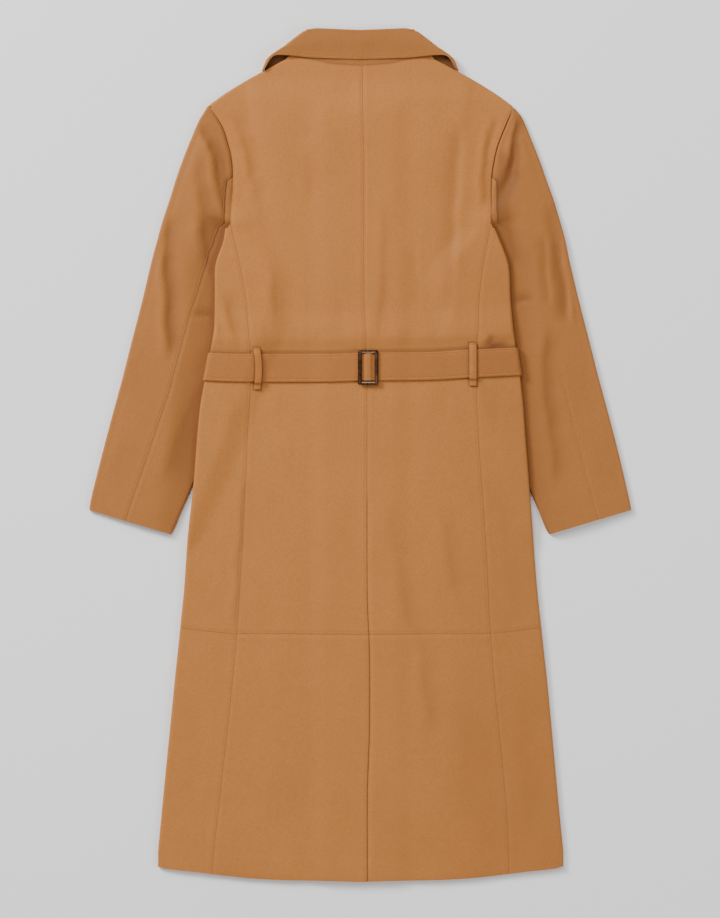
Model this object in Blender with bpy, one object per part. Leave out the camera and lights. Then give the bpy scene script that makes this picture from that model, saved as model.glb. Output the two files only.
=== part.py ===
"""Long leather coat laid out flat, front down and back up, with its own belt.

Every piece that a maker would cut is one wall of leather. Sizes are millimetres until the
meshes are made. X runs across the coat, Y from hem to collar, Z up from the surface under it.
"""
import math

import bpy

MM = 0.001

# Driving sizes
WALL = 1.5              # leather
SEAM_GAP = 0.3          # between neighbours
PLAY = 1.6              # between the front and the back where the belt or a seam holds them
LOFT = 3.2              # the same on the loose panels
SEWN_LAP = 1.9          # how far a piece climbs to lie on another one
FRONT_LAP = 2.3         # the same where the left front lies on the right one
LAP_HALF = 40.0         # the fronts overlap this far past the middle
TUCKED_SLEEVE = 5.2     # height of the sleeve where the body lies on it
TUCKED_ARMPIT = 4.4     # the same right at the armpit
SLEEVE_LOFT = 6.8       # height of the loose sleeve
ARMPIT_Y = 333.0
REST_CLEAR = 0.6        # between the fronts and the sleeve or belt they lie on
BLOUSE_ABOVE = 2.4      # extra loft where the back swells over the belt
BLOUSE_BELOW = 0.6      # the same under the belt
ARMHOLE_SCOOP = 12.0    # the front is cut this much deeper at the armhole
SHOULDER_CLEAR = 1.6    # the front stops this far short of the shoulder's fold
CENTRE_STEPS = 4        # spans of a back panel before it climbs
CLIMB_STEPS = 4         # spans of its climb over the sleeve
SIDE_STEPS = 3          # spans of a side panel before its fold
VENT_TOP_Y = -75.0
VENT_UNDERLAP = 40.0
BELT_WIDTH = 41.0
BELT_WALL = 2.6
BELT_CLEAR = 0.8
BELT_LEVEL_Y = 130.0
LOOP_WALL = 1.5
LOOP_CLEAR = 0.4
BELT_TURN_SHARE = 0.97  # the belt is drawn in this much where it turns round the sides
BAR_LIFT = 0.4          # the buckle's middle bar over the back
BUCKLE_X = 11.65
BUCKLE_Y = 129.9
BUCKLE_WIDTH = 30.0
BUCKLE_HEIGHT = 51.0
BUCKLE_SIDE_BAR = 5.9
BUCKLE_END_BAR = 4.3
BUCKLE_THICK = 3.0
CENTRE_BAR_WIDTH = 5.0
CENTRE_BAR_THICK = 1.8
BAR_CLEAR = 0.35
COLLAR_HALF_HEIGHT = 6.3    # half the height of the folded collar
STAND_HALF_HEIGHT = 1.75    # the same of the flattened stand inside it
COLLAR_FOLD_REACH = (COLLAR_HALF_HEIGHT - STAND_HALF_HEIGHT) / 2
STAND_CLEAR = 2.6           # the stand stops this far short of the fold behind
STAND_INSET = 7.0           # the same at the sides and in front

# Outline of the laid body: y, left x, right x
BODY_EDGE = [
    (333, -200.9, 198.5), (313, -202.0, 207.0), (288, -211.0, 216.5), (273, -214.0, 219.5),
    (227, -214.0, 221.5), (184, -215.5, 224.8), (155, -220.0, 228.5), (105, -229.6, 235.5),
    (72, -235.4, 239.5), (22, -240.4, 243.8), (-38, -245.0, 248.5), (-125, -254.4, 255.1),
    (-214, -260.6, 261.8), (-361, -275.2, 277.1), (-538, -292.0, 292.9), (-605, -298.0, 299.2),
]
# Outer cut of the back panel, armhole then side-back seam: y, left x, right x
BACK_CUT = [
    (512, -221.5, 227.0), (484, -203.0, 213.2), (455, -193.4, 201.8), (432, -188.5, 196.3),
    (411, -187.5, 193.2), (391, -187.5, 192.3), (367, -189.7, 192.8), (341, -190.6, 192.0),
    (313, -184.5, 187.5), (265, -174.0, 179.0), (220, -167.0, 174.8), (184, -164.0, 174.0),
    (152, -161.2, 171.0), (95, -161.4, 171.0), (35, -165.4, 173.6), (-37, -168.8, 179.0),
    (-156, -174.7, 186.5), (-264, -181.7, 191.9), (-361, -190.4, 199.6),
    (-520, -207.5, 214.6), (-616, -217.7, 219.0),
]
# Centre-back seam: y, x
CENTRE_BACK = [
    (575, 3.7), (500, 4.2), (440, 5.6), (240, 5.6), (180, 7.8), (93, 10.0), (-205, 10.0),
    (-290, 13.0), (-410, 13.0), (-450, 11.5), (-500, 10.0), (-629, 10.0),
]
# Back neck seam, then shoulder: distance from the middle, y
NECK_AND_SHOULDER = [
    (0, 574.8), (43, 577.8), (68.5, 583.3), (92, 586.0), (104, 585.0), (125, 575.0),
    (145, 564.3), (171, 549.9), (199.4, 532.2), (212, 523.3), (223.3, 514.5), (230.9, 505.7),
]
# Front neck seam, then shoulder: distance from the middle, y
FRONT_NECK = [(0, 493.0), (40, 495.0), (60, 507.6), (78, 519.0), (104, 579.0)]
# Seam across the skirt: distance from the middle, y
KNEE_SEAM = [(0, -264.4), (115, -263.4), (187, -263.0), (227, -259.5), (264, -254.8)]
# Hem: distance from the middle, y
HEM = [
    (0, -628.5), (45, -627.2), (110, -626.0), (155, -623.8), (199, -619.4), (243, -614.0),
    (287, -609.0), (299, -605.0),
]
# Outer fold of the sleeves: y, left x, right x
SLEEVE_EDGE = [
    (511, -227.4, 228.6), (494, -237.0, 240.0), (464, -250.0, 252.5), (435, -261.5, 264.0),
    (405, -272.0, 274.5), (376, -281.0, 285.0), (346, -291.0, 294.0), (317, -299.0, 302.0),
    (287.5, -307.0, 308.0), (228.5, -321.0, 322.0), (170, -336.0, 337.0), (111, -351.0, 352.0),
    (52, -367.0, 368.0), (-7, -382.5, 383.0), (-66, -397.0, 396.6), (-81, -399.2, 399.2),
]
# Inner fold of the sleeves, under the body above y = -40: y, distance from the middle
SLEEVE_INNER = [
    (333, 197.5), (312, 180.0), (290, 161.0), (262, 148.0), (225, 148.5), (184, 159.0),
    (127, 180.5), (70, 200.5), (15, 222.0), (-43, 246.0), (-80, 262.0), (-117, 278.5),
    (-150, 310.0), (-190, 360.0),
]
# Sections of the sleeve from cuff to head: y at its inner end, y at its outer fold,
# and the share of its width that the under sleeve takes, left and right
SLEEVE_SECTIONS = [
    (-117.0, -81.0, 0.560, 0.560), (-80.0, -52.0, 0.556, 0.560), (-43.0, -7.0, 0.546, 0.560),
    (15.0, 52.0, 0.542, 0.600), (70.0, 111.0, 0.538, 0.640), (127.0, 170.0, 0.551, 0.680),
    (184.0, 228.5, 0.565, 0.680), (243.0, 287.5, 0.530, 0.640), (280.0, 317.0, 0.473, 0.560),
    (308.0, 346.0, 0.330, 0.400), (333.0, 369.0, 0.110, 0.110), (341.0, 375.0, 0.100, 0.100),
    (360.0, 390.0, 0.100, 0.090), (386.0, 412.0, 0.120, 0.110), (400.0, 427.0, 0.110, 0.110),
    (411.0, 438.0, 0.0, 0.0), (436.0, 460.0, 0.0, 0.0), (462.0, 480.0, 0.0, 0.0),
    (484.0, 494.0, 0.0, 0.0), (496.0, 501.0, 0.0, 0.0), (505.0, 507.5, 0.0, 0.0),
]
ARMPIT_SECTION = 10
HEAD_SECTION = 15
# Middle of the belt across the back: x, y
BELT_LINE = [
    (-240, 131.0), (-190, 128.6), (-45, 128.4), (-8, 129.6), (30, 130.2), (105, 131.2),
    (156, 134.0), (240, 138.2),
]
# Largest folds of the back: x and y where it starts, x and y where it ends, half width, depth
BODY_FOLDS = [
    (-187, 206, -168, 158, 9, 1.3), (176, 196, 196, 158, 11, 1.6), (-123, 275, -119, 196, 11, 1.1),
    (137, 450, 137, 313, 14, 1.2), (191, 486, 181, 405, 9, 1.5), (-160, 450, -151, 377, 12, 1.0),
    (66, -199, 76, -398, 14, 1.2), (132, -60, 132, -190, 13, 1.0), (-132, -40, -128, -240, 14, 1.1),
    (42, 336, 45, 196, 12, 1.0), (-70, -330, -84, -560, 18, 1.2), (150, -330, 168, -580, 18, 1.2),
]
# Largest folds of the sleeves, with the same columns, for the left and the right one
SLEEVE_FOLDS = {
    -1: [
        (-236, 482, -211, 436, 9, 2.2), (-211, 436, -206, 372, 9, 2.2),
        (-236, 365, -225, 285, 10, 2.4), (-281, 310, -278, 160, 10, 1.8),
        (-251, 81, -288, -51, 14, 1.6), (-236, 208, -216, 208, 6, 1.2),
    ],
    1: [
        (231, 498, 216, 430, 8, 2.4), (216, 430, 206, 372, 9, 2.4), (296, 313, 303, 196, 9, 1.9),
        (278, 152, 279, 40, 10, 1.7), (279, 40, 288, -50, 11, 1.2), (225, 228, 258, 228, 6, 1.4),
    ],
}
# Loops: name, x at the top, the middle and the foot, width, y of the top and the foot
BELT_LOOPS = [
    ("belt_loop_left", -151.8, -149.3, -151.2, 10.4, 163.0, 94.0),
    ("belt_loop_right", 165.6, 165.7, 165.9, 11.0, 168.5, 101.0),
]
LEATHER = (0.480, 0.222, 0.080)
LEATHER_BELT = (0.465, 0.210, 0.074)
LEATHER_UNDER = (0.330, 0.150, 0.055)
HORN = (0.055, 0.026, 0.016)


# Curves and heights

def read(table, key, column=1):
    """A smooth curve through one column of a table, held level past its ends."""
    rows = sorted(table)
    if key <= rows[0][0]:
        return rows[0][column]
    if key >= rows[-1][0]:
        return rows[-1][column]
    last = len(rows) - 1
    i = max(n for n in range(last) if rows[n][0] <= key)
    a, b = rows[i], rows[i + 1]
    before, after = rows[max(i - 1, 0)], rows[min(i + 2, last)]
    span = b[0] - a[0]
    slope_a = (b[column] - before[column]) / (b[0] - before[0])
    slope_b = (after[column] - a[column]) / (after[0] - a[0])
    t = (key - a[0]) / span
    return ((2 * t**3 - 3 * t**2 + 1) * a[column] + (t**3 - 2 * t**2 + t) * span * slope_a
            + (3 * t**2 - 2 * t**3) * b[column] + (t**3 - t**2) * span * slope_b)


def ramp(low, high, value):
    """Soft step from 0 at low to 1 at high."""
    t = min(max((value - low) / (high - low), 0.0), 1.0)
    return t * t * (3 - 2 * t)


def mix(a, b, t):
    return a + (b - a) * t


def mix_points(a, b, t):
    return tuple(mix(p, q, t) for p, q in zip(a, b))


def side_column(side):
    return 1 if side < 0 else 2


def body_edge(side, y):
    return read(BODY_EDGE, y, side_column(side))


def back_cut(side, y):
    return read(BACK_CUT, y, side_column(side))


def folds_at(folds, x, y):
    """Depth of the soft troughs at a point, each fading out at its two ends."""
    depth = 0.0
    for x0, y0, x1, y1, half_width, deep in folds:
        along_x, along_y = x1 - x0, y1 - y0
        length = math.hypot(along_x, along_y)
        along = ((x - x0) * along_x + (y - y0) * along_y) / length
        across = ((x - x0) * along_y - (y - y0) * along_x) / length
        fade = ramp(-half_width, half_width, along)
        fade *= ramp(length + half_width, length - half_width, along)
        depth += deep * fade * math.exp(-(across / half_width) ** 2)
    return depth


def sleeve_tuck(y):
    """Height of the folded sleeve under the side of the body."""
    return mix(TUCKED_ARMPIT, TUCKED_SLEEVE, ramp(ARMPIT_Y, 285.0, y))


def belt_y(x):
    return read(BELT_LINE, x)


def belt_band(x, y, near=27.0, far=50.0):
    """1 under the belt, fading to 0 on both sides of it."""
    return ramp(far, near, abs(y - belt_y(x)))


def collar_leaf_y(distance):
    """Lower edge of the collar leaves, which lie under the fronts."""
    return read([(0, 500.0), (60, 462.0), (105, 438.0), (130, 450.0), (150, 495.0),
                 (162, 555.0), (175, 640.0)], distance)


def front_lift(x, y):
    """Height of the underside of the fronts, which lie on sleeves, belt and collar."""
    away = abs(x)
    inner = read(SLEEVE_INNER, y)
    lift = (sleeve_tuck(y) + REST_CLEAR) * ramp(inner - 54.0, inner - 12.0, away)
    lift *= ramp(374.0, 338.0, y)
    lift += (BELT_WALL + REST_CLEAR) * belt_band(x, y)
    leaf = collar_leaf_y(away)
    lift += SEWN_LAP * ramp(leaf - 44.0, leaf - 18.0, y) * ramp(180.0, 162.0, away)
    return lift


def back_height(x, y):
    """Height of the outer face of the back panels."""
    lap = FRONT_LAP * ramp(-78.0, -46.0, x) * ramp(78.0, 46.0, x) * ramp(535.0, 500.0, y)
    held = max(belt_band(x, y), ramp(520.0, 560.0, y))
    loft = mix(LOFT, PLAY, held)
    above_belt = y - belt_y(x)
    loft += BLOUSE_ABOVE * ramp(27.0, 46.0, above_belt) * ramp(88.0, 50.0, above_belt)
    loft += BLOUSE_BELOW * ramp(-27.0, -46.0, above_belt) * ramp(-90.0, -55.0, above_belt)
    loft -= folds_at(BODY_FOLDS, x, y) * (1.0 - held)
    return front_lift(x, y) + lap + 2 * WALL + loft


def fold_radius(x, y):
    return (back_height(x, y) - front_lift(x, y)) / 2


# Mesh making

def material(name, colour, roughness):
    made = bpy.data.materials.get(name)
    if made is None:
        made = bpy.data.materials.new(name)
        made.use_nodes = True
        shader = made.node_tree.nodes["Principled BSDF"]
        shader.inputs["Base Color"].default_value = (*colour, 1.0)
        shader.inputs["Roughness"].default_value = roughness
        shader.inputs["Metallic"].default_value = 0.0
    return made


def place(name, points, faces, finish):
    """A mesh whose object stands at the middle of its own box."""
    lows = [min(p[i] for p in points) for i in range(3)]
    highs = [max(p[i] for p in points) for i in range(3)]
    centre = [(low + high) / 2 for low, high in zip(lows, highs)]
    mesh = bpy.data.meshes.new(name)
    mesh.from_pydata([[(p[i] - centre[i]) * MM for i in range(3)] for p in points], [], faces)
    mesh.materials.append(finish)
    mesh.shade_smooth()
    body = bpy.data.objects.new(name, mesh)
    body.location = [value * MM for value in centre]
    bpy.context.collection.objects.link(body)
    return body


def cloth(name, rows, finish, wall=WALL, closed=False, flip=False):
    """A wall of leather on rows of outer points; None leaves a place open."""
    points, index = [], {}
    for i, row in enumerate(rows):
        for j, point in enumerate(row):
            if point is not None:
                index[i, j] = len(points)
                points.append(point)
    columns = len(rows[0])
    faces = []
    for i in range(len(rows) - 1):
        for j in range(columns if closed else columns - 1):
            k = (j + 1) % columns
            ring = [(i, j), (i, k), (i + 1, k), (i + 1, j)]
            if all(corner in index for corner in ring):
                face = [index[corner] for corner in ring]
                faces.append(face[::-1] if flip else face)
    body = place(name, points, faces, finish)
    thickness = body.modifiers.new("Leather", "SOLIDIFY")
    thickness.thickness = wall * MM
    thickness.offset = -1.0
    body.data.set_sharp_from_angle(angle=math.radians(50))
    return body


def box_points(low, high):
    return [(x, y, z) for z in (low[2], high[2]) for y in (low[1], high[1])
            for x in (low[0], high[0])]


# Body

UPPER_ROWS = [              # y at the middle, y at the outer cut
    (575, 512), (548, 496), (520, 484), (490, 462), (458, 436), (424, 411), (392, 386),
    (363, 360), (341, 341), (315, 315), (282, 282), (245, 245), (210, 210), (184, 184),
    (158, 158), (130, 130), (102, 102), (78, 78), (45, 45), (-15, -15), (-75, -75),
    (-165, -165), (-264, -264),
]
LOWER_ROWS = [-264, -350, -440, -535, -629]
FRONT_ROWS = [(493, 505), (468, 484), (445, 462), (420, 436), (400, 411), (382, 386),
              (362, 360)]


def follow_belt(x, y):
    """Rows near the waist run along the belt."""
    near = ramp(110.0, 60.0, abs(y - BELT_LEVEL_Y))
    return y + (belt_y(x) - BELT_LEVEL_Y) * near


def knee_y(x, gap=0.0):
    return read(KNEE_SEAM, abs(x)) + gap


def seam_rows(x, y):
    """Bends the last rows of the upper pieces to the seam across the skirt."""
    near = ramp(-120.0, -264.0, y)
    return y + (knee_y(x, SEAM_GAP / 2) + 264.0) * near


def hem_rows(x, y):
    """Fits the rows of the lower pieces between the seam and the hem."""
    t = (y + 264.0) / (-629.0 + 264.0)
    return mix(knee_y(x, -SEAM_GAP / 2), read(HEM, abs(x)), t)


def vent_step(x, y):
    """The right side of the vent lies under the left one."""
    inside = ramp(VENT_TOP_Y + 25.0, VENT_TOP_Y, y)
    return (WALL + 0.6) * inside * ramp(30.0, 4.0, x - read(CENTRE_BACK, y))


def shoulder_roll(x, y, outward):
    """Points round the fold at the shoulder, from the back to the underside."""
    radius = fold_radius(x, y)
    foot = (x - outward[0] * radius, y - outward[1] * radius)
    middle = front_lift(x, y) + radius
    ring = []
    for step in range(5):
        angle = math.radians(90 - 45 * step)
        reach = radius * math.cos(angle)
        ring.append((foot[0] + outward[0] * reach, foot[1] + outward[1] * reach,
                     middle + radius * math.sin(angle)))
    return ring


def shoulder_normal(side, distance):
    rise = read(NECK_AND_SHOULDER, distance + 2) - read(NECK_AND_SHOULDER, distance - 2)
    length = math.hypot(4.0, rise)
    return (-rise / length * side, 4.0 / length)


def climb_columns(side, y):
    """Distances from the middle, from where the body climbs over the sleeve to its seam."""
    seam = abs(back_cut(side, y)) - SEAM_GAP / 2
    start = min(read(SLEEVE_INNER, y) - 58.0, seam - 38.0)
    start = mix(start, 107.0, ramp(345.0, 440.0, y))
    return [mix(start, seam, n / CLIMB_STEPS) for n in range(CLIMB_STEPS + 1)]


def back_columns(side, y_in, y_out):
    """X of the points of one row of a back panel, from the centre seam outwards."""
    centre = read(CENTRE_BACK, y_in) + side * SEAM_GAP / 2
    climb = climb_columns(side, y_out)
    inner = [mix(centre, side * climb[0], n / CENTRE_STEPS) for n in range(CENTRE_STEPS + 1)]
    return inner + [side * distance for distance in climb[1:]]


def back_upper(side, name):
    top = back_columns(side, 575, 512)
    tip = top[-1]
    tip_y = read(NECK_AND_SHOULDER, abs(tip))
    rows = []
    for y_in, y_out in [(575, tip_y)] + UPPER_ROWS[1:]:
        across = back_columns(side, y_in, y_out)
        row = []
        if side > 0:
            for extra in (VENT_UNDERLAP, VENT_UNDERLAP / 2):
                x = across[0] - extra
                z = back_height(x, y_in) - vent_step(x, y_in)
                row.append((x, seam_rows(x, y_in), z) if y_in <= VENT_TOP_Y else None)
        for x, top_x in zip(across, top):
            share = (x - across[0]) / (across[-1] - across[0])
            top_share = (top_x - top[0]) / (tip - top[0])
            y = mix(y_in, y_out, share)
            rise = read(NECK_AND_SHOULDER, abs(top_x)) - mix(575.0, tip_y, top_share)
            y = seam_rows(x, follow_belt(x, y + rise * ramp(380.0, 575.0, y_in)))
            z = back_height(x, y)
            if side > 0:
                z -= vent_step(x, y)
            row.append((x, y, z))
        rows.append(row)
    lead = len(rows[0]) - len(top)
    rolls = [[None] * len(rows[0]) for _ in range(4)]
    for column in range(lead + CENTRE_STEPS, lead + len(top)):
        x, y, _ = rows[0][column]
        ring = shoulder_roll(x, y, shoulder_normal(side, abs(x)))
        rows[0][column] = ring[0]
        for step in range(4):
            rolls[3 - step][column] = ring[step + 1]
    return cloth(name, rolls + rows, material("coat leather", LEATHER, 0.5), flip=side > 0)


def back_lower(side, name):
    rows = []
    for level in LOWER_ROWS:
        start = read(CENTRE_BACK, level) + side * SEAM_GAP / 2
        end = back_cut(side, level) - side * SEAM_GAP / 2
        across = [mix(start, end, n / 7) for n in range(8)]
        if side > 0:
            across = [start - VENT_UNDERLAP, start - VENT_UNDERLAP / 2] + across
        row = []
        for x in across:
            y = hem_rows(x, level)
            step = vent_step(x, y) if side > 0 else 0.0
            row.append((x, y, back_height(x, y) - step))
        rows.append(row)
    return cloth(name, rows, material("coat leather", LEATHER, 0.5), flip=side > 0)


def side_columns(side, y_seam, y_edge, bend):
    """X from the side-back seam to where the side starts to turn, and the turn's radius."""
    edge = body_edge(side, y_edge)
    seam = back_cut(side, y_seam) + side * SEAM_GAP / 2
    radius = fold_radius(edge, bend(edge, y_edge))
    foot = edge - side * radius
    return [mix(seam, foot, n / SIDE_STEPS) for n in range(SIDE_STEPS + 1)], radius


def side_section(side, y_seam, y_edge, bend):
    """One section of the side panel: back seam, round the fold, to the seam below."""
    across, radius = side_columns(side, y_seam, y_edge, bend)
    foot = across[-1]
    levels = [bend(x, mix(y_seam, y_edge, n / SIDE_STEPS)) for n, x in enumerate(across)]
    low = front_lift(foot, levels[-1])
    row = [(x, y, back_height(x, y)) for x, y in zip(across[:-1], levels)]
    for step in range(5):
        angle = math.radians(90 - 45 * step)
        row.append((foot + side * radius * math.cos(angle), levels[-1],
                    low + radius + radius * math.sin(angle)))
    for x, y in list(zip(across, levels))[-2::-1]:
        row.append((x, y, front_lift(x, y)))
    return row


def side_upper(side, name):
    def bend(x, y):
        return seam_rows(x, follow_belt(x, y))

    levels = [(340.5, 328.5)] + [pair for pair in UPPER_ROWS if pair[1] < ARMPIT_Y]
    rows = [side_section(side, y_seam, y_edge, bend) for y_seam, y_edge in levels]
    return cloth(name, rows, material("coat leather", LEATHER, 0.5), flip=side > 0)


def side_lower(side, name):
    rows = [side_section(side, level, level, hem_rows) for level in LOWER_ROWS]
    return cloth(name, rows, material("coat leather", LEATHER, 0.5), flip=side > 0)


def front_top(side, x):
    """Neck line, then the shoulder where the back turns under it."""
    away = side * x
    if away < 104.0:
        return read(FRONT_NECK, max(away, 0.0))
    inset = fold_radius(x, read(NECK_AND_SHOULDER, away)) + SEAM_GAP + SHOULDER_CLEAR
    return read(NECK_AND_SHOULDER, away) - inset / shoulder_normal(side, away)[1]


def scoop_at(y):
    """How much deeper the front is cut at the armhole."""
    return ARMHOLE_SCOOP * math.sin(math.pi * ramp(ARMPIT_Y, 512.0, y))


def front_lap(side, x):
    """The left front lies on the right one."""
    return FRONT_LAP * ramp(-78.0, -46.0, x) if side < 0 else 0.0


def front(side, name):
    """One front, from its lapped edge to the seam under the side and the armhole."""
    inner = [-LAP_HALF, 0.0, LAP_HALF, 78.0]
    if side < 0:
        inner = [LAP_HALF, 0.0, -LAP_HALF, -62.0, -78.0]
    upper = FRONT_ROWS + [pair for pair in UPPER_ROWS if pair[1] < 350]
    rows = []
    for y_in, y_out in upper + [(y, y) for y in LOWER_ROWS[1:]]:
        scoop = scoop_at(y_out)
        climb = climb_columns(side, y_out)
        across = inner + [side * distance for distance in climb]
        for n in range(1, 5):
            across[-n] -= side * scoop * (5 - n) / 4
        row = []
        for x in across:
            share = (x - across[0]) / (across[-1] - across[0])
            y = mix(y_in, y_out, share)
            y += (front_top(side, x) - mix(493.0, 505.0, share)) * ramp(400.0, 493.0, y_in)
            if y_in < -264:
                y = hem_rows(x, y)
            elif y_in < 350:
                y = seam_rows(x, follow_belt(x, y))
            row.append((x, y, front_lift(x, y) + front_lap(side, x)))
        rows.append(row)
    return cloth(name, rows, material("coat leather", LEATHER, 0.5), flip=side < 0)


# Sleeves

def armhole(side, y, scooped=False):
    """X of the armhole seam, straight between the rows of the body; the front is scooped."""
    levels = [y_out for _, y_out in UPPER_ROWS if y_out >= 315]
    ends = [back_cut(side, level) - side * (scoop_at(level) if scooped else 0.0)
            for level in levels]
    for n in range(len(levels) - 1):
        if levels[n + 1] <= y <= levels[n]:
            share = (y - levels[n + 1]) / (levels[n] - levels[n + 1])
            return mix(ends[n + 1], ends[n], share)
    raise ValueError(y)


def sleeve_rows(side):
    """Sections with their inner and outer ends, the seam share and the edge height."""
    rows = []
    sections = SLEEVE_SECTIONS if side < 0 else SLEEVE_SECTIONS[:-1]
    for order, (y_in, y_out, left_share, right_share) in enumerate(sections):
        share = left_share if side < 0 else right_share
        if order > ARMPIT_SECTION:
            inner = armhole(side, y_in) + side * SEAM_GAP / 2
        else:
            inner = side * read(SLEEVE_INNER, y_in)
        outer = read(SLEEVE_EDGE, y_out, side_column(side))
        rows.append((order, (inner, y_in), (outer, y_out), share))
    return rows


def sleeve_height(side, order, inner, x, y):
    """Height of the upper layer of the sleeve."""
    loose = SLEEVE_LOFT - folds_at(SLEEVE_FOLDS[side], x, y)
    if order > ARMPIT_SECTION:
        start = back_height(inner[0], inner[1])
        return mix(start, loose, ramp(0.0, 42.0, side * (x - inner[0])))
    tuck = sleeve_tuck(y)
    past = side * (x - body_edge(side, y))
    return mix(tuck, loose, ramp(2.0, 46.0, past))


def arc(centre, outward, radius, stretch=1.0, steps=4):
    """Points round a fold, from its top to its underside."""
    ring = []
    for n in range(steps + 1):
        angle = math.radians(90 - 180 * n / steps)
        reach = radius * math.cos(angle) * stretch
        ring.append((centre[0] + outward[0] * reach, centre[1] + outward[1] * reach,
                     radius + radius * math.sin(angle)))
    return ring


def sleeve_line(side, order, inner, outer):
    """Direction of a section, and the radius of its two folds."""
    dx, dy = outer[0] - inner[0], outer[1] - inner[1]
    length = math.hypot(dx, dy)
    outward = (dx / length, dy / length)
    outer_radius = sleeve_height(side, order, inner, *outer) / 2
    inner_radius = sleeve_tuck(inner[1]) / 2
    return outward, outer_radius, inner_radius


def front_armhole(side, inner):
    return armhole(side, inner[1], scooped=True) + side * SEAM_GAP / 2, inner[1]


def sleeve_outer(side, name):
    """The larger piece: from the seam behind, round the outer fold, to the seam below."""
    rows = []
    for order, inner, outer, share in sleeve_rows(side):
        outward, radius, _ = sleeve_line(side, order, inner, outer)
        gap = SEAM_GAP / 2 if share else 0.0
        seam = mix_points(inner, outer, share)
        seam = (seam[0] + side * gap, seam[1])
        foot = (outer[0] - outward[0] * radius, outer[1] - outward[1] * radius)
        row = []
        for n in range(4):
            x, y = mix_points(seam, foot, n / 4)
            row.append((x, y, sleeve_height(side, order, inner, x, y)))
        row += arc(foot, outward, radius)
        edge = front_armhole(side, inner) if order > ARMPIT_SECTION else inner
        below = mix_points(edge, outer, share * 0.8)
        below = (below[0] + side * gap, below[1])
        row += [(*mix_points(foot, below, 0.5), 0.0), (*below, 0.0)]
        rows.append(row)
    return cloth(name, rows, material("coat leather", LEATHER, 0.5), flip=side < 0)


def sleeve_under(side, name):
    """The narrower piece, with the inner fold; it stops at the armhole."""
    rows = []
    for order, inner, outer, share in sleeve_rows(side)[:HEAD_SECTION]:
        outward, _, radius = sleeve_line(side, order, inner, outer)
        seam = mix_points(inner, outer, share)
        seam = (seam[0] - side * SEAM_GAP / 2, seam[1])
        stretch = mix(1.0, 1.9, ramp(6.0, 9.0, order))
        wide = radius * stretch
        foot = (inner[0] + outward[0] * wide, inner[1] + outward[1] * wide)
        is_open = order > ARMPIT_SECTION
        last = inner if is_open else foot
        row = []
        for n in range(4):
            x, y = mix_points(seam, last, n / 3)
            row.append((x, y, sleeve_height(side, order, inner, x, y)))
        inward = (-outward[0], -outward[1])
        turn = arc(foot, inward, radius, stretch)[1:-1]
        row += [None] * len(turn) if is_open else turn
        armside = front_armhole(side, inner) if is_open else inner
        below = mix_points(armside, outer, share * 0.8)
        below = (below[0] - side * SEAM_GAP / 2, below[1])
        edge = armside if is_open else foot
        row += [(*mix_points(edge, below, n / 2), 0.0) for n in range(3)]
        rows.append(row)
    return cloth(name, rows, material("coat leather", LEATHER, 0.5), flip=side > 0)


# Collar: each row is a flattened loop round the neck

# Rows of the leaf from the fold to its edge: share of its depth, y at the middle of the back
# and at 0.5, 0.8 and 0.92 of the way out, x and y at the side, way it turns there in degrees
LEAF_ROWS = [
    (0.00, 625.8, 627.2, 628.53, 627.2, 84.5, 624.4, 0.0),
    (0.24, 615.6, 616.8, 617.4, 614.8, 100.5, 611.8, -4.0),
    (0.50, 604.5, 605.6, 605.6, 603.6, 112.5, 602.3, -8.0),
    (0.76, 592.8, 595.4, 598.0, 597.0, 124.5, 594.0, -22.0),
    (1.00, 582.8, 585.0, 588.6, 585.4, 142.5, 571.5, -48.0),
]
FRONT_FOLD = [(84, 616), (76, 588), (60, 558), (38, 534), (8, 518)]
FRONT_EDGE = [(141, 562), (148, 530), (136, 490), (112, 456)]
COLLAR_SHARES = [0.0, 0.25, 0.5, 0.68, 0.8, 0.92, 1.0]
COLLAR_FRONT_SHARES = [0.14, 0.4, 0.7, 1.0]
COLLAR_STATIONS = (0.0, 0.5, 0.8, 0.92, 1.0)


def along_path(path, share):
    """A point at a share of the length of a smooth path."""
    lengths = [0.0]
    for a, b in zip(path, path[1:]):
        lengths.append(lengths[-1] + math.dist(a, b))
    at = share * lengths[-1]
    return (read([(s, p[0]) for s, p in zip(lengths, path)], at),
            read([(s, p[1]) for s, p in zip(lengths, path)], at))


def loop(back, outward, low, front_path):
    """Both halves of a flattened loop: front, left side, back, right side, front."""
    side_x, side_y, high = back[-1]
    radius = (high - low) / 2
    half = list(back)
    for step in range(1, 5):
        angle = math.radians(90 - 45 * step)
        reach = radius * math.cos(angle)
        half.append((side_x + outward[0] * reach, side_y + outward[1] * reach,
                     low + radius + radius * math.sin(angle)))
    half += [(x, y, low) for x, y in front_path]
    return [(-x, y, z) for x, y, z in reversed(half)] + half[1:]


def leaf_loop(row, half, shift):
    """One row of the leaf, or of the roll where it turns over onto the stand."""
    depth, *levels, side_x, side_y, way = row
    outward = (math.cos(math.radians(way)), math.sin(math.radians(way)))
    turn = (side_x - outward[0] * COLLAR_HALF_HEIGHT, side_y - outward[1] * COLLAR_HALF_HEIGHT)
    stations = list(zip(COLLAR_STATIONS, levels + [turn[1]]))
    back = []
    for share in COLLAR_SHARES:
        droop = mix(3.2, 0.8, ramp(0.45, 0.9, share)) * ramp(0.2, 1.0, depth)
        back.append((share * turn[0], read(stations, share) + shift,
                     COLLAR_HALF_HEIGHT + half - droop))
    front_path = []
    for share in COLLAR_FRONT_SHARES:
        x, y = mix_points(along_path(FRONT_FOLD, share), along_path(FRONT_EDGE, share), depth)
        front_path.append((x - 0.7 * shift, y + 0.7 * shift))
    return loop(back, outward, COLLAR_HALF_HEIGHT - half, front_path)


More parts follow.
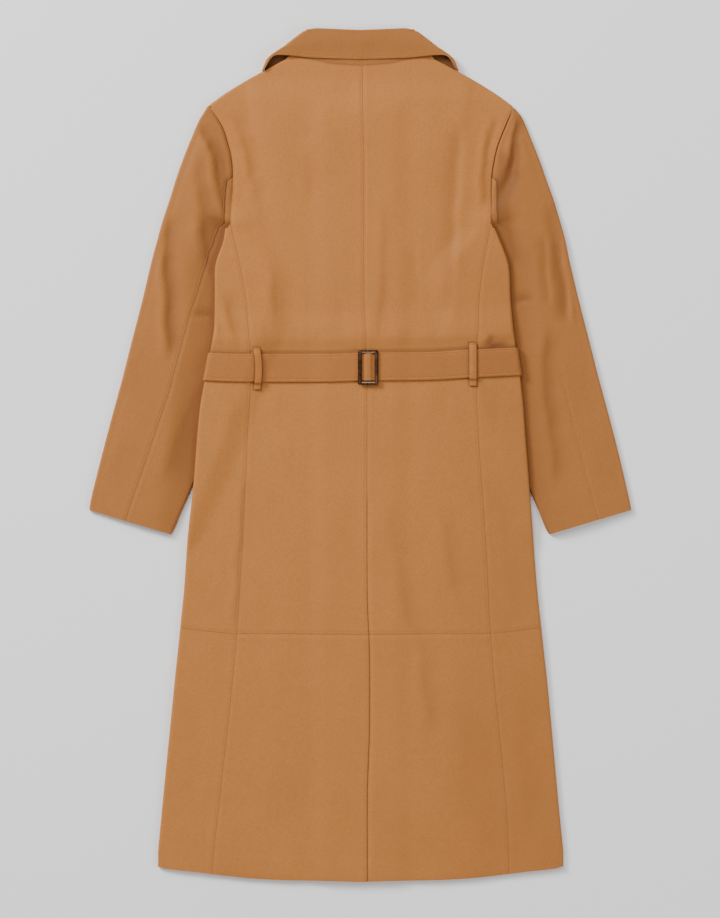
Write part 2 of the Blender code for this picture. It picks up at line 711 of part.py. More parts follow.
def collar_fall(name):
    """The leaf with its roll: rows from under the fold to the outer edge."""
    rows = []
    for angle in (-60, -10, 90):
        turned = math.radians(angle)
        half = mix(STAND_HALF_HEIGHT, COLLAR_HALF_HEIGHT, 0.5 + 0.5 * math.sin(turned))
        shift = COLLAR_FOLD_REACH * (math.cos(turned) - 1.0)
        rows.append(leaf_loop(LEAF_ROWS[0], half, shift))
    for row in LEAF_ROWS[1:]:
        rows.append(leaf_loop(row, COLLAR_HALF_HEIGHT, 0.0))
    return cloth(name, rows, material("coat leather", LEATHER, 0.5), flip=True)


def collar_stand(name):
    """The strip between the neck seam and the fold."""
    _, *levels, side_x, side_y, _ = LEAF_ROWS[0]
    fold_levels = list(zip(COLLAR_STATIONS, levels + [side_y]))
    turn_x = side_x - COLLAR_HALF_HEIGHT + 4.0
    rows = []
    for w in (0.0, 1.0):
        back = []
        for share in COLLAR_SHARES:
            neck_x = 103.0 * share
            neck = (neck_x, read(NECK_AND_SHOULDER, neck_x) + 1.0)
            clear = mix(STAND_CLEAR, STAND_INSET, ramp(0.55, 0.95, share))
            fold = (turn_x * share, read(fold_levels, share) - COLLAR_FOLD_REACH - clear)
            back.append((*mix_points(neck, fold, w), mix(5.0, 8.05, w)))
        front_path = []
        for share in COLLAR_FRONT_SHARES:
            neck_x = mix(102.0, 8.0, share)
            neck = (neck_x, read(FRONT_NECK, neck_x) + 2.5)
            fold = along_path(FRONT_FOLD, share)
            front_path.append(mix_points(neck, (fold[0] + STAND_INSET, fold[1] - 0.7 * STAND_INSET), w))
        rows.append(loop(back, (1.0, 0.0), mix(3.5, 4.55, w), front_path))
    return cloth(name, rows, material("leather underside", LEATHER_UNDER, 0.6), flip=True)


# Belt, loops and buckle

def belt_top(x, y):
    """Height of the outer face of the belt on the back."""
    off_bar = abs(x - BUCKLE_X)
    crown = (CENTRE_BAR_THICK + 0.5) * ramp(7.5, 2.2, off_bar)
    return back_height(x, y) + BELT_CLEAR + BELT_WALL + crown


def belt_columns(side, level):
    """X of the belt's points on one side, from the middle to where the side turns."""
    climb = [side * distance for distance in climb_columns(side, level)]
    outer, _ = side_columns(side, level, level, follow_belt)
    return [mix(BUCKLE_X + side * 22.0, climb[0], n / 3) for n in range(3)] + climb + outer[1:]


def belt(name):
    """One closed strap: across the back, round both sides and under the fronts."""
    near = [BUCKLE_X + step for step in (-14.0, -7.5, -2.5, 2.5, 7.5, 14.0)]
    rows = []
    for offset in (BELT_WIDTH / 2, -BELT_WIDTH / 2):
        left = belt_columns(-1, BELT_LEVEL_Y + offset)
        right = belt_columns(1, BELT_LEVEL_Y + offset)
        row = [(x, belt_y(x) + offset, belt_top(x, belt_y(x) + offset))
               for x in left[::-1] + near + right]
        row += belt_turn(1, right[-1], offset)
        under = right[-2::-1] + left[:-1]
        row += [(x, belt_y(x) + offset, belt_underside(x, offset)) for x in under]
        row += belt_turn(-1, left[-1], offset)[::-1]
        rows.append(row)
    return cloth(name, rows, material("belt leather", LEATHER_BELT, 0.45), wall=BELT_WALL,
                 closed=True, flip=True)


def belt_underside(x, offset):
    return front_lift(x, belt_y(x) + offset) - BELT_WALL - REST_CLEAR


def belt_turn(side, x, offset):
    """The strap round one side, from just past its top to the underside."""
    y = belt_y(x) + offset
    low = belt_underside(x, offset)
    radius = (belt_top(x, y) - low) / 2
    ring = []
    for step in range(1, 5):
        angle = math.radians(90 - 45 * step)
        ring.append((x + side * radius * math.cos(angle) * BELT_TURN_SHARE, y,
                     low + radius + radius * math.sin(angle)))
    return ring


def belt_loop(name, x_top, x_middle, x_foot, width, y_top, y_foot):
    """A narrow strap over the belt, with both ends down on the back."""
    centre = belt_y(x_middle)
    half = BELT_WIDTH / 2
    rise = BELT_CLEAR + BELT_WALL + LOOP_CLEAR + LOOP_WALL
    stations = [
        (y_top, LOOP_WALL + 0.5), (centre + half + 4.5, LOOP_WALL + 0.9),
        (centre + half + 1.0, rise), (centre, rise + 0.2), (centre - half - 1.0, rise),
        (centre - half - 4.5, LOOP_WALL + 0.9), (y_foot, LOOP_WALL + 0.5),
    ]
    rows = []
    bends = [(y_foot, x_foot), (centre, x_middle), (y_top, x_top)]
    for y, above in stations:
        x = read(bends, y)
        rows.append([(x + width * (share - 0.5), y,
                      max(back_height(x, y), back_height(x - width / 2, y),
                          back_height(x + width / 2, y)) + above) for share in (0.0, 0.5, 1.0)])
    return cloth(name, rows, material("belt leather", LEATHER_BELT, 0.45), wall=LOOP_WALL,
                 flip=True)


def buckle(name):
    """A plain slide frame; the belt runs under its sides and over its middle bar."""
    base = back_height(BUCKLE_X, BUCKLE_Y)
    under_bar = base + BAR_LIFT
    over_belt = base + BELT_CLEAR + BELT_WALL + BAR_CLEAR + 0.15
    top = over_belt + BUCKLE_THICK
    half_w, half_h = BUCKLE_WIDTH / 2, BUCKLE_HEIGHT / 2
    inner_w = half_w - BUCKLE_SIDE_BAR
    inner_h = half_h - BUCKLE_END_BAR
    points, faces = [], []

    def ring(width, height, z):
        first = len(points)
        for sx, sy in ((-1, -1), (1, -1), (1, 1), (-1, 1)):
            points.append((BUCKLE_X + sx * width, BUCKLE_Y + sy * height, z))
        return first

    outer_low = ring(half_w, half_h, over_belt)
    outer_high = ring(half_w, half_h, top - 0.9)
    shoulder = ring(half_w - 0.9, half_h - 0.9, top)
    inner_shoulder = ring(inner_w + 0.7, inner_h + 0.7, top)
    inner_high = ring(inner_w, inner_h, top - 0.9)
    inner_low = ring(inner_w, inner_h, over_belt)
    loops = [outer_low, outer_high, shoulder, inner_shoulder, inner_high, inner_low, outer_low]
    for low, high in zip(loops, loops[1:]):
        for n in range(4):
            m = (n + 1) % 4
            faces.append([low + n, low + m, high + m, high + n])
    frame = place(name, points, faces, material("dark horn", HORN, 0.2))
    reach = inner_h + BUCKLE_END_BAR * 0.6
    bars = []
    bars.append(((-CENTRE_BAR_WIDTH / 2, -reach, under_bar),
                 (CENTRE_BAR_WIDTH / 2, reach, under_bar + CENTRE_BAR_THICK)))
    for end in (-1, 1):
        low_y, high_y = sorted((end * (inner_h + 0.15), end * (half_h - 0.5)))
        bars.append(((-half_w + 3.0, low_y, under_bar), (half_w - 3.0, high_y, over_belt + 1.0)))
    for order, (low, high) in enumerate(bars):
        low = (low[0] + BUCKLE_X, low[1] + BUCKLE_Y, low[2])
        high = (high[0] + BUCKLE_X, high[1] + BUCKLE_Y, high[2])
        quads = [[0, 2, 3, 1], [4, 5, 7, 6], [0, 1, 5, 4], [2, 6, 7, 3], [0, 4, 6, 2],
                 [1, 3, 7, 5]]
        guide = place(f"guide_bar_{order}", box_points(low, high), quads,
                      material("dark horn", HORN, 0.2))
        guide.hide_render = True
        guide.display_type = "WIRE"
        union = frame.modifiers.new("Bar", "BOOLEAN")
        union.operation = "UNION"
        union.object = guide
    return frame


def main():
    for thing in list(bpy.data.objects):
        bpy.data.objects.remove(thing, do_unlink=True)
    for side, word in ((-1, "left"), (1, "right")):
        back_upper(side, f"back_{word}_upper")
        back_lower(side, f"back_{word}_lower")
        side_upper(side, f"side_{word}_upper")
        side_lower(side, f"side_{word}_lower")
        front(side, f"front_{word}")
        sleeve_outer(side, f"sleeve_{word}_outer")
        sleeve_under(side, f"sleeve_{word}_under")
    collar_fall("collar_fall")
    collar_stand("collar_stand")
    belt("belt")
    for row in BELT_LOOPS:
        belt_loop(*row)
    buckle("buckle_frame")


main()
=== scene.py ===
"""Looks of a long leather coat laid out flat, front down and back up, with its own belt.

Shapes are worked out in millimetres and made in metres. X runs across the coat, Y from hem
to collar, Z up from the floor.
"""
import math

import bmesh
import bpy
import numpy as np
from bpy.props import FloatProperty, FloatVectorProperty, PointerProperty
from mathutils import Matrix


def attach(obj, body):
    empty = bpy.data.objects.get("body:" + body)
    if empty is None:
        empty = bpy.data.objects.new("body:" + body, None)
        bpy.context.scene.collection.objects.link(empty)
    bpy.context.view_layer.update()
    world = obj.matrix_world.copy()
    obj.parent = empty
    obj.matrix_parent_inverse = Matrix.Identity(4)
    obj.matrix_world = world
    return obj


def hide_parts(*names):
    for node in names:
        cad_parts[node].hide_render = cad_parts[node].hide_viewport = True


bl_info = {
    "name": "Laid leather coat",
    "version": (1, 0, 0),
    "blender": (4, 5, 0),
    "location": "View3D > Sidebar > Coat",
    "description": "Makes a long leather coat with its belt, laid out on a pale floor",
    "category": "Object",
}

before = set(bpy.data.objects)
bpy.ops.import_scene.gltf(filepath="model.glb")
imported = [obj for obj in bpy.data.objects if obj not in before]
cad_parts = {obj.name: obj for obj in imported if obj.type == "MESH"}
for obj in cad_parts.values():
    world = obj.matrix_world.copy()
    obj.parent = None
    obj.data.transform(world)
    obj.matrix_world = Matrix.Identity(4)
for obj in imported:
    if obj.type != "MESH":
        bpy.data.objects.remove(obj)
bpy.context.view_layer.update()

MM = 0.001
ARMPIT_Y = 333.0
VENT_TOP_Y = -75.0
VENT_UNDERLAP = 40.0
BELT_LEVEL_Y = 130.0
LAP_HALF = 40.0
SEWN_LAP = 1.9
FRONT_LAP = 2.3
TUCKED_SLEEVE = 5.2
TUCKED_ARMPIT = 4.4
COLLAR_HALF_HEIGHT = 6.3
STAND_HALF_HEIGHT = 1.75
COLLAR_FOLD_REACH = (COLLAR_HALF_HEIGHT - STAND_HALF_HEIGHT) / 2
STAND_CLEAR = 2.6
STAND_INSET = 7.0
BUCKLE_X = 11.65
BUCKLE_Y = 128.9
BELT_CLEAR = 0.8
LOOP_LEATHER = 1.5
LEAF_DEPTH = 42.0
# Levels: neck seam at the middle of the back and of the front, tip of the shoulder on the back
# and on the front, start of the front's shaped top, seam across the skirt, hem
NECK_LEVEL = 575.0
FRONT_NECK_LEVEL = 493.0
TIP_LEVEL = 512.0
FRONT_TIP_LEVEL = 505.0
FRONT_TOP_FROM = 400.0
KNEE_LEVEL = -264.0
HEM_LEVEL = -629.0
# Levels between which the neck seam takes hold of both layers
NECK_HELD = (520.0, 560.0)
# Where the neck seam ends and the shoulder starts, from the middle
NECK_END = 104.0
# Foot and top of the rise of the body over the lapped fronts, from the middle
LAP_FOOT = 78.0
LAP_TOP = 46.0
# A distance from the nearest sewn edge that counts as none
FAR = 30.0
# Size of most grid squares, and of those of the lower back and of the fronts
STEP = 4.2
LOWER_STEP = 4.4
FRONT_STEP = 6.5
FRONT_COLUMNS = 46
# How far the middle of the thread lies over the leather
THREAD_LIFT = 0.12
# Middle of the view, and height of the floor, just under the pieces on it, all in metres
VIEW_CENTRE = (-0.0003, -0.0058)
FLOOR_Z = -0.0003

# Outline of the laid body: y, left x, right x
BODY_EDGE = [
    (333, -198.6, 198.5), (313, -202.0, 207.0), (288, -211.0, 216.5), (273, -214.0, 219.5),
    (227, -214.0, 221.5), (184, -215.5, 224.8), (155, -220.0, 228.5), (105, -229.6, 235.5),
    (72, -235.4, 239.5), (22, -240.4, 243.8), (-38, -245.0, 248.5), (-125, -254.4, 255.1),
    (-214, -260.6, 261.8), (-361, -275.2, 277.1), (-538, -292.0, 292.9), (-605, -298.0, 299.2),
]
# Outer cut of the back panel, armhole then side-back seam: y, left x, right x
BACK_CUT = [
    (512, -221.5, 226.0), (484, -203.0, 213.2), (455, -193.4, 201.8), (432, -188.5, 196.3),
    (411, -187.5, 193.2), (391, -187.5, 192.3), (367, -189.7, 192.8), (341, -190.6, 192.0),
    (313, -184.5, 187.5), (265, -174.0, 179.0), (220, -167.0, 174.8), (184, -164.0, 174.0),
    (152, -161.2, 171.0), (95, -161.4, 171.0), (35, -165.4, 173.6), (-37, -168.8, 179.0),
    (-156, -174.7, 186.5), (-264, -181.7, 191.9), (-361, -190.4, 199.6),
    (-520, -207.5, 214.6), (-616, -217.7, 219.0),
]
# Centre-back seam: y, x
CENTRE_BACK = [
    (575, 3.7), (500, 4.2), (440, 5.6), (240, 5.6), (180, 7.8), (93, 10.0), (-205, 10.0),
    (-290, 13.0), (-410, 13.0), (-450, 11.5), (-500, 10.0), (-629, 10.0),
]
# Back neck seam, then shoulder: distance from the middle, y
NECK_AND_SHOULDER = [
    (0, 574.8), (43, 577.8), (68.5, 583.3), (92, 586.0), (104, 585.0), (125, 575.0),
    (145, 564.3), (171, 549.9), (199.4, 532.2), (212, 523.3), (223.3, 514.5), (230.9, 505.7),
]
# Front neck seam: distance from the middle, y
FRONT_NECK = [(0, 493.0), (40, 495.0), (60, 507.6), (78, 519.0), (104, 579.0)]
# Seam across the skirt: distance from the middle, y
KNEE_SEAM = [(0, -264.4), (115, -263.4), (187, -263.0), (227, -259.5), (264, -254.8)]
# Hem: distance from the middle, y
HEM = [
    (0, -628.5), (45, -627.2), (110, -626.0), (155, -623.8), (199, -619.4), (243, -614.0),
    (287, -609.0), (299, -605.0),
]
# Outer fold of the sleeves: y, left x, right x
SLEEVE_EDGE = [
    (513.5, -225.0, 225.9), (508, -228.4, 229.8), (503, -231.4, 234.2), (494, -237.0, 240.0),
    (464, -250.0, 252.5), (435, -261.5, 264.0),
    (405, -272.0, 274.5), (376, -281.0, 285.0), (346, -291.0, 294.0), (317, -299.0, 302.0),
    (287.5, -307.0, 308.0), (228.5, -321.0, 322.0), (170, -336.0, 337.0), (111, -351.0, 352.0),
    (52, -367.0, 368.0), (-7, -382.5, 383.0), (-66, -397.0, 396.6), (-81, -399.2, 399.2),
]
# Inner fold of the sleeves, under the body above y = -40: y, distance from the middle
SLEEVE_INNER = [
    (333, 197.5), (312, 180.0), (290, 161.0), (262, 148.0), (225, 148.5), (184, 159.0),
    (127, 180.5), (70, 200.5), (15, 222.0), (-43, 246.0), (-80, 262.0), (-117, 278.5),
    (-150, 310.0), (-190, 360.0),
]
# Sections of the sleeve from cuff to head: place in the row, y at its inner end, y at its
# outer fold, and the share of its width that the under sleeve takes, left and right
SLEEVE_SECTIONS = [
    (0, -117.0, -81.0, 0.560, 0.600), (1, -80.0, -52.0, 0.556, 0.605),
    (2, -43.0, -7.0, 0.546, 0.615), (3, 15.0, 52.0, 0.542, 0.640),
    (4, 70.0, 111.0, 0.538, 0.665), (5, 127.0, 170.0, 0.551, 0.685),
    (6, 184.0, 228.5, 0.565, 0.680), (7, 243.0, 287.5, 0.530, 0.640),
    (8, 280.0, 317.0, 0.473, 0.560), (9, 308.0, 346.0, 0.330, 0.400),
    (10, 333.0, 369.0, 0.110, 0.110), (11, 341.0, 375.0, 0.100, 0.100),
    (12, 360.0, 390.0, 0.100, 0.090), (13, 386.0, 412.0, 0.120, 0.110),
    (14, 400.0, 427.0, 0.110, 0.110), (15, 411.0, 438.0, 0.0, 0.0),
    (16, 436.0, 460.0, 0.0, 0.0), (17, 462.0, 480.0, 0.0, 0.0), (18, 484.0, 494.0, 0.0, 0.0),
    (19, 497.0, 502.0, 0.0, 0.0), (20, 506.0, 509.0, 0.0, 0.0), (21, 515.4, 514.0, 0.0, 0.0),
]
ARMPIT_SECTION = 10
HEAD_SECTION = 15
TOP_SECTION = 21
# Middle of the belt across the back: x, y
BELT_LINE = [
    (-240, 131.0), (-190, 128.6), (-45, 128.4), (-8, 129.6), (30, 130.2), (105, 131.2),
    (156, 134.0), (240, 138.2),
]
# Lower edge of the collar leaves, under the fronts: distance from the middle, y
LEAF_UNDER = [
    (0, 500.0), (60, 462.0), (105, 438.0), (130, 450.0), (150, 495.0), (162, 555.0),
    (175, 640.0),
]
# Rows of the panels: y at the middle, y at the outer cut. The back's first row is its neck seam
UPPER_ROWS = [(548, 496), (520, 484), (490, 462), (458, 436), (424, 411), (392, 386),
              (363, 360), (341, 341), (KNEE_LEVEL, KNEE_LEVEL)]
LOWER_ROWS = [(KNEE_LEVEL, KNEE_LEVEL), (HEM_LEVEL, HEM_LEVEL)]
FRONT_ROWS = [(FRONT_NECK_LEVEL, FRONT_TIP_LEVEL), (468, 484), (445, 462), (420, 436),
              (400, 411), (382, 386), (362, 360), (341, 341), (KNEE_LEVEL, KNEE_LEVEL)]
# Collar leaf from the fold to its edge: share of its depth, y at the middle of the back and
# at 0.5, 0.8 and 0.92 of the way out, x and y at the side, way it turns there in degrees
LEAF_ROWS = [
    (0.00, 625.8, 627.2, 628.3, 628.0, 81.0, 626.8, 0.0),
    (0.24, 615.6, 616.8, 617.4, 614.8, 100.5, 611.8, -4.0),
    (0.50, 604.5, 605.6, 605.6, 603.6, 112.5, 602.3, -8.0),
    (0.76, 592.8, 595.4, 598.0, 597.0, 126.5, 593.0, -20.0),
    (0.88, 587.8, 590.2, 593.2, 591.6, 138.2, 583.0, -30.0),
    (1.00, 582.8, 585.0, 588.6, 586.0, 145.4, 565.4, -36.0),
]
COLLAR_STATIONS = (0.0, 0.5, 0.8, 0.92, 1.0)
# Shares of the way along half a collar row: its back, then its front
BACK_SHARES = np.concatenate([np.linspace(0, 0.9, 31), np.linspace(0.915, 1.0, 7)])
FRONT_SHARES = np.linspace(0.06, 1.0, 18)
# Fold and outer edge of the collar's front ends: x, y
FRONT_FOLD = [(84, 616), (76, 588), (60, 558), (38, 534), (8, 518)]
FRONT_EDGE = [(141, 562), (148, 530), (136, 490), (112, 456)]
# Loops: name, x at the top, the middle and the foot, width, y of the top and the foot
BELT_LOOPS = [
    ("belt_loop_left", -152.6, -149.3, -151.4, 10.2, 158.5, 96.5),
    ("belt_loop_right", 165.6, 165.7, 165.9, 11.0, 165.5, 102.0),
]
# Creases: x and y where one starts, x and y where it ends, half width, depth, and the height
# of the ridge beside it (its sign says on which side)
BODY_CREASES = [
    (-200, 238, -174, 162, 7, 1.5, 0.5), (-210, 197, -198, 163, 5, 0.9, 0.5),
    (196, 173, 184, 156, 6, 3.4, 0.4), (188, 160, 222, 161, 3.5, 4.5, 0.0),
    (-188, 500, -170, 468, 7, 1.2, 0.4), (-170, 468, -157, 412, 7, 1.5, 0.5),
    (-157, 412, -148, 380, 8, 1.1, 0.4), (-148, 380, -130, 300, 9, 0.6, 0.3),
    (-123, 275, -119, 190, 9, 1.3, 0.3), (-76, 442, -71, 366, 9, 0.6, 0.3),
    (37, 365, 38, 265, 8, 0.8, 0.3), (38, 265, 30, 170, 8, 1.1, 0.3),
    (79, 315, 82, 212, 8, 0.6, -0.3),
    (144, 490, 140, 400, 8, 1.4, -0.3), (140, 400, 136, 315, 8, 1.5, -0.3),
    (136, 315, 132, 262, 8, 1.1, -0.3), (132, 262, 125, 200, 9, 0.7, -0.2),
    (201, 498, 191, 470, 5, 1.3, 0.4), (191, 470, 186, 425, 5, 1.8, 0.5),
    (186, 425, 184, 362, 6, 1.7, 0.4),
    (46, -60, 66, -200, 10, 0.6, 0.3), (66, -200, 98, -305, 10, 0.9, 0.3),
    (98, -305, 108, -420, 10, 1.2, 0.3), (126, -90, 143, -195, 9, 0.9, 0.3),
    (143, -195, 160, -245, 9, 0.5, 0.3), (-168, -40, -182, -258, 6, 0.7, 0.6),
    (-70, -330, -84, -560, 22, 0.45, -0.3), (150, -330, 168, -580, 22, 0.5, 0.3),
    (-95, 160, -99, 205, 9, 0.6, 0.4), (-62, 158, -57, 190, 9, 0.4, -0.4),
    (-27, 160, -30, 222, 10, 0.4, 0.3), (70, 160, 76, 200, 10, 0.4, -0.3),
    (110, 162, 118, 222, 10, 0.5, 0.4), (-136, 162, -141, 210, 8, 0.5, 0.4),
    (-110, 98, -116, 40, 10, 0.4, 0.3), (120, 98, 128, 46, 9, 0.5, -0.3),
    (-183, 95, -190, 20, 9, 0.5, 0.3), (196, 98, 205, 15, 10, 0.4, -0.3),
    (215, -60, 226, -240, 11, 0.4, 0.3), (-240, -330, -252, -560, 16, 0.4, -0.3),
    (240, -330, 254, -560, 16, 0.5, 0.3),
]
LEFT_SLEEVE_CREASES = [
    (-236, 484, -221, 461, 6, 1.7, 0.4), (-221, 461, -211, 436, 6, 2.6, 0.5),
    (-211, 436, -204, 390, 6, 3.4, 0.5), (-204, 390, -195, 356, 6, 3.4, 0.3),
    (-236, 440, -233, 388, 8, 0.9, 0.5), (-233, 388, -229, 345, 8, 1.4, 0.5),
    (-229, 345, -223, 308, 9, 2.1, 0.6), (-223, 308, -215, 264, 9, 2.8, 0.6),
    (-279, 352, -285, 292, 7, 1.7, 0.5), (-285, 292, -277, 140, 7, 2.5, 0.6),
    (-238, 110, -259, 36, 12, 1.7, 0.3), (-259, 36, -288, -45, 12, 1.6, 0.3),
    (-246, 206, -212, 206, 5, 2.1, 0.5), (-318, 180, -336, 60, 15, 0.4, 0.3),
    (-345, 40, -362, -60, 14, 0.4, 0.2),
]
RIGHT_SLEEVE_CREASES = [
    (233, 503, 226, 457, 5, 2.8, 0.5), (226, 457, 221, 421, 5.5, 3.9, 0.5),
    (221, 421, 202, 374, 7, 4.4, 0.5),
    (286, 372, 292, 312, 7, 1.7, -0.5), (292, 312, 305, 192, 7, 2.3, -0.5),
    (269, 325, 277, 218, 5, 0.9, -0.4), (278, 186, 274, 106, 8, 1.5, 0.5),
    (274, 106, 282, 40, 8, 1.6, 0.5), (282, 40, 292, -48, 8, 1.2, 0.4),
    (220, 226, 258, 229, 5, 1.9, 0.5), (322, 170, 340, 50, 15, 0.4, -0.3),
    (348, 30, 364, -60, 14, 0.3, 0.2),
]
# Where the sleeves get painted shade for the armhole's hollow, in the same way as the creases
LEFT_ARMHOLE_SHADE = [(-205, 412, -199, 350, 5, 0.7, 0.0), (-224, 355, -213, 266, 13, 0.9, 0.0)]
RIGHT_ARMHOLE_SHADE = [
    (214, 448, 205, 392, 10, 1.4, 0.0), (205, 392, 202, 348, 8, 1.6, 0.0),
    (202, 348, 206, 322, 8, 1.2, 0.0), (206, 322, 216, 278, 10, 1.1, 0.0),
]
# Slow unevenness of the leather: length of the wave, its direction in degrees, height
SLOW_WAVES = [(173, 21, 0.20), (131, 78, 0.18), (97, 143, 0.13), (71, 8, 0.13), (53, 172, 0.09)]
# Painted shade of leather that lies open, of the collar's leaf, and the most that the scale
# of painted shade in the hollows goes to (0 raised, 2 deep, 3 within)
PLAIN_PAINTED_SHADE = 0.35
COLLAR_PAINTED_SHADE = 0.85
MOST_PAINTED_SHADE = 3.0
# Width of the strip in which the sleeve's head comes down from the back to its own height
LEAVING = 42.0
# Distances from a sewn edge at which the leather's roll, groove and welt are shaped
SEWN_STEPS = [0.0, 0.7, 1.3, 2.0, 2.6, 3.2, 4.2, 6.0, 9.0]
# Which of those steps the topstitching follows
SEAT = SEWN_STEPS.index(2.6)
# Columns of the right back that lie under the left one at the vent, from the centre-back seam
VENT_COLUMNS = np.linspace(-VENT_UNDERLAP, -4.0, 9)

stitch_lines = {}


# Curves

def curve(table, key, column=1):
    """A smooth curve through one column of a table, held level past its ends."""
    rows = np.array(sorted((row[0], row[column]) for row in table), float)
    keys, values = rows[:, 0], rows[:, 1]
    last = len(keys) - 1
    key = np.clip(np.asarray(key, float), keys[0], keys[-1])
    i = np.clip(np.searchsorted(keys, key, side="right") - 1, 0, last - 1)
    before, after = np.maximum(i - 1, 0), np.minimum(i + 2, last)
    span = keys[i + 1] - keys[i]
    slope_a = (values[i + 1] - values[before]) / (keys[i + 1] - keys[before])
    slope_b = (values[after] - values[i]) / (keys[after] - keys[i])
    t = (key - keys[i]) / span
    return ((2 * t**3 - 3 * t**2 + 1) * values[i] + (t**3 - 2 * t**2 + t) * span * slope_a
            + (3 * t**2 - 2 * t**3) * values[i + 1] + (t**3 - t**2) * span * slope_b)


def ramp(low, high, value):
    """Soft step from 0 at low to 1 at high."""
    t = np.clip((value - low) / (high - low), 0.0, 1.0)
    return t * t * (3 - 2 * t)


def mix(a, b, t):
    """From a at t = 0 to b at t = 1."""
    return a + (b - a) * t


def column(side):
    """Column of the left or the right side in the outline tables."""
    return 1 if side < 0 else 2


def body_edge(side, y):
    """X of the outline of the body."""
    return curve(BODY_EDGE, y, column(side))


def back_cut(side, y):
    """X of the back panel's outer cut."""
    return curve(BACK_CUT, y, column(side))


def belt_y(x):
    """Y of the middle of the belt."""
    return curve(BELT_LINE, x)


def knee_y(x, gap=0.0):
    """Y of the seam across the skirt, or of an edge this far above it."""
    return curve(KNEE_SEAM, np.abs(x)) + gap


def shoulder_rise(away):
    """How far the line of neck and shoulder climbs over the 4 mm round a point."""
    return curve(NECK_AND_SHOULDER, away + 2) - curve(NECK_AND_SHOULDER, away - 2)


def sizes():
    """The lengths and strengths that a user may change."""
    return bpy.context.scene.coat_sizes


def wall():
    """Thickness of the coat's leather in millimetres."""
    return sizes().leather / MM


def seam_gap():
    """Gap between neighbouring pieces in millimetres."""
    return sizes().seam_gap / MM


# Heights

def creases_at(creases, x, y):
    """Depth of the creases at a point, steep beside the ridge and fading out at free ends."""
    depth = np.zeros(np.broadcast(x, y).shape)
    starts, ends = {row[:2] for row in creases}, {row[2:4] for row in creases}
    for x0, y0, x1, y1, half_width, deep, ridge in creases:
        along_x, along_y = x1 - x0, y1 - y0
        length = math.hypot(along_x, along_y)
        along = ((x - x0) * along_x + (y - y0) * along_y) / length
        across = ((x - x0) * along_y - (y - y0) * along_x) / length
        bend = np.sin(math.pi * np.clip(along / length, 0.0, 1.0))
        across = across + 0.25 * half_width * bend * np.sin(along / (2.1 * half_width) + x0)
        free = min(4.0 * half_width, 0.5 * length)
        fade_in = half_width if (x0, y0) in ends else free
        fade_out = half_width if (x1, y1) in starts else free
        fade = ramp(-half_width, fade_in, along)
        fade = fade * ramp(length + half_width, length - fade_out, along)
        toward = math.copysign(1.0, ridge) * across / half_width
        trough = np.exp(-np.where(toward > 0, toward / 0.75, toward / 1.8) ** 2)
        beside = toward - 1.5
        depth = depth + deep * fade * (trough - abs(ridge) * np.exp(-beside ** 2))
    return depth * sizes().crease_depth


def slow_waves(x, y):
    """Height of the broad unevenness that soft leather keeps when it is laid out."""
    height = 0.0
    for length, way, high in SLOW_WAVES:
        turned = math.radians(way)
        along = x * math.cos(turned) + y * math.sin(turned)
        height = height + high * np.sin(2 * math.pi * along / length + 0.8 * way)
    return height


def sewn_dip(distance):
    """How far the leather drops beside a sewn edge: the seam, the stitched groove, a welt."""
    seam = 0.45 * np.exp(-(distance / 1.0) ** 2)
    groove = 0.26 * np.exp(-((distance - sizes().stitch_setback / MM) / 0.7) ** 2)
    welt = 0.22 * np.exp(-((distance - 5.5) / 3.0) ** 2)
    return seam + groove - welt


def sleeve_tuck(y):
    """Height of the sleeve where it lies under the body."""
    return mix(TUCKED_ARMPIT, TUCKED_SLEEVE, ramp(ARMPIT_Y, 285.0, y))


def belt_band(x, y):
    """1 under the belt, fading to 0 on both sides of it."""
    return ramp(50.0, 27.0, np.abs(y - belt_y(x)))


def front_lift(x, y, spread=1.0):
    """Height of the underside of the fronts, which lie on sleeves, belt and collar."""
    away = np.abs(x)
    inner = curve(SLEEVE_INNER, y)
    lift = (sleeve_tuck(y) + 0.6) * ramp(inner - 54.0, inner - 12.0, away)
    lift = lift * ramp(374.0, 338.0, y)
    lift = lift + 3.2 * belt_band(x, y)
    leaf = curve(LEAF_UNDER, away)
    climb = ramp(leaf - 31.0 - 13.0 * spread, leaf - 31.0 + 13.0 * spread, y)
    return lift + SEWN_LAP * climb * ramp(171.0 + 9.0 * spread, 171.0 - 9.0 * spread, away)


def held_down(x, y):
    """1 where the belt or the neck seam holds the two layers together."""
    return np.maximum(belt_band(x, y), ramp(*NECK_HELD, y))


def back_base(x, y):
    """Height of the outer face of the back before its creases."""
    lap = FRONT_LAP * ramp(-LAP_FOOT, -LAP_TOP, x) * ramp(LAP_FOOT, LAP_TOP, x)
    lap = lap * ramp(535.0, 500.0, y)
    loft = mix(sizes().loft / MM, 1.6, held_down(x, y))
    above = y - belt_y(x)
    loft = loft + 2.4 * ramp(27.0, 46.0, above) * ramp(88.0, 50.0, above)
    loft = loft + 0.6 * ramp(-27.0, -46.0, above) * ramp(-90.0, -55.0, above)
    return front_lift(x, y, 3.6) + lap + 2 * wall() + loft


def back_height(x, y):
    """Height of the outer face of the back panels."""
    give = 1.0 - held_down(x, y)
    belted = ramp(31.0, 22.0, np.abs(y - belt_y(x)))
    free = 1.0 - np.maximum(belted, ramp(*NECK_HELD, y))
    high = back_base(x, y) + give * (0.6 + back_puff(x, y) + slow_waves(x, y))
    high = high - free * creases_at(BODY_CREASES, x, y)
    return np.maximum(high, front_lift(x, y) + 2 * wall() + 0.4)


def back_puff(x, y):
    """The back swells in its middle and falls off towards the armholes and the sides."""
    bound = np.where(x < 0, np.abs(back_cut(-1, y)), np.abs(back_cut(1, y)))
    share = np.clip(np.abs(x) / bound, 0.0, 1.3)
    above = ramp(180.0, 260.0, y) * ramp(570.0, 470.0, y)
    return sizes().back_puff / MM * (0.25 + 0.75 * above) * ramp(1.08, 0.55, share)


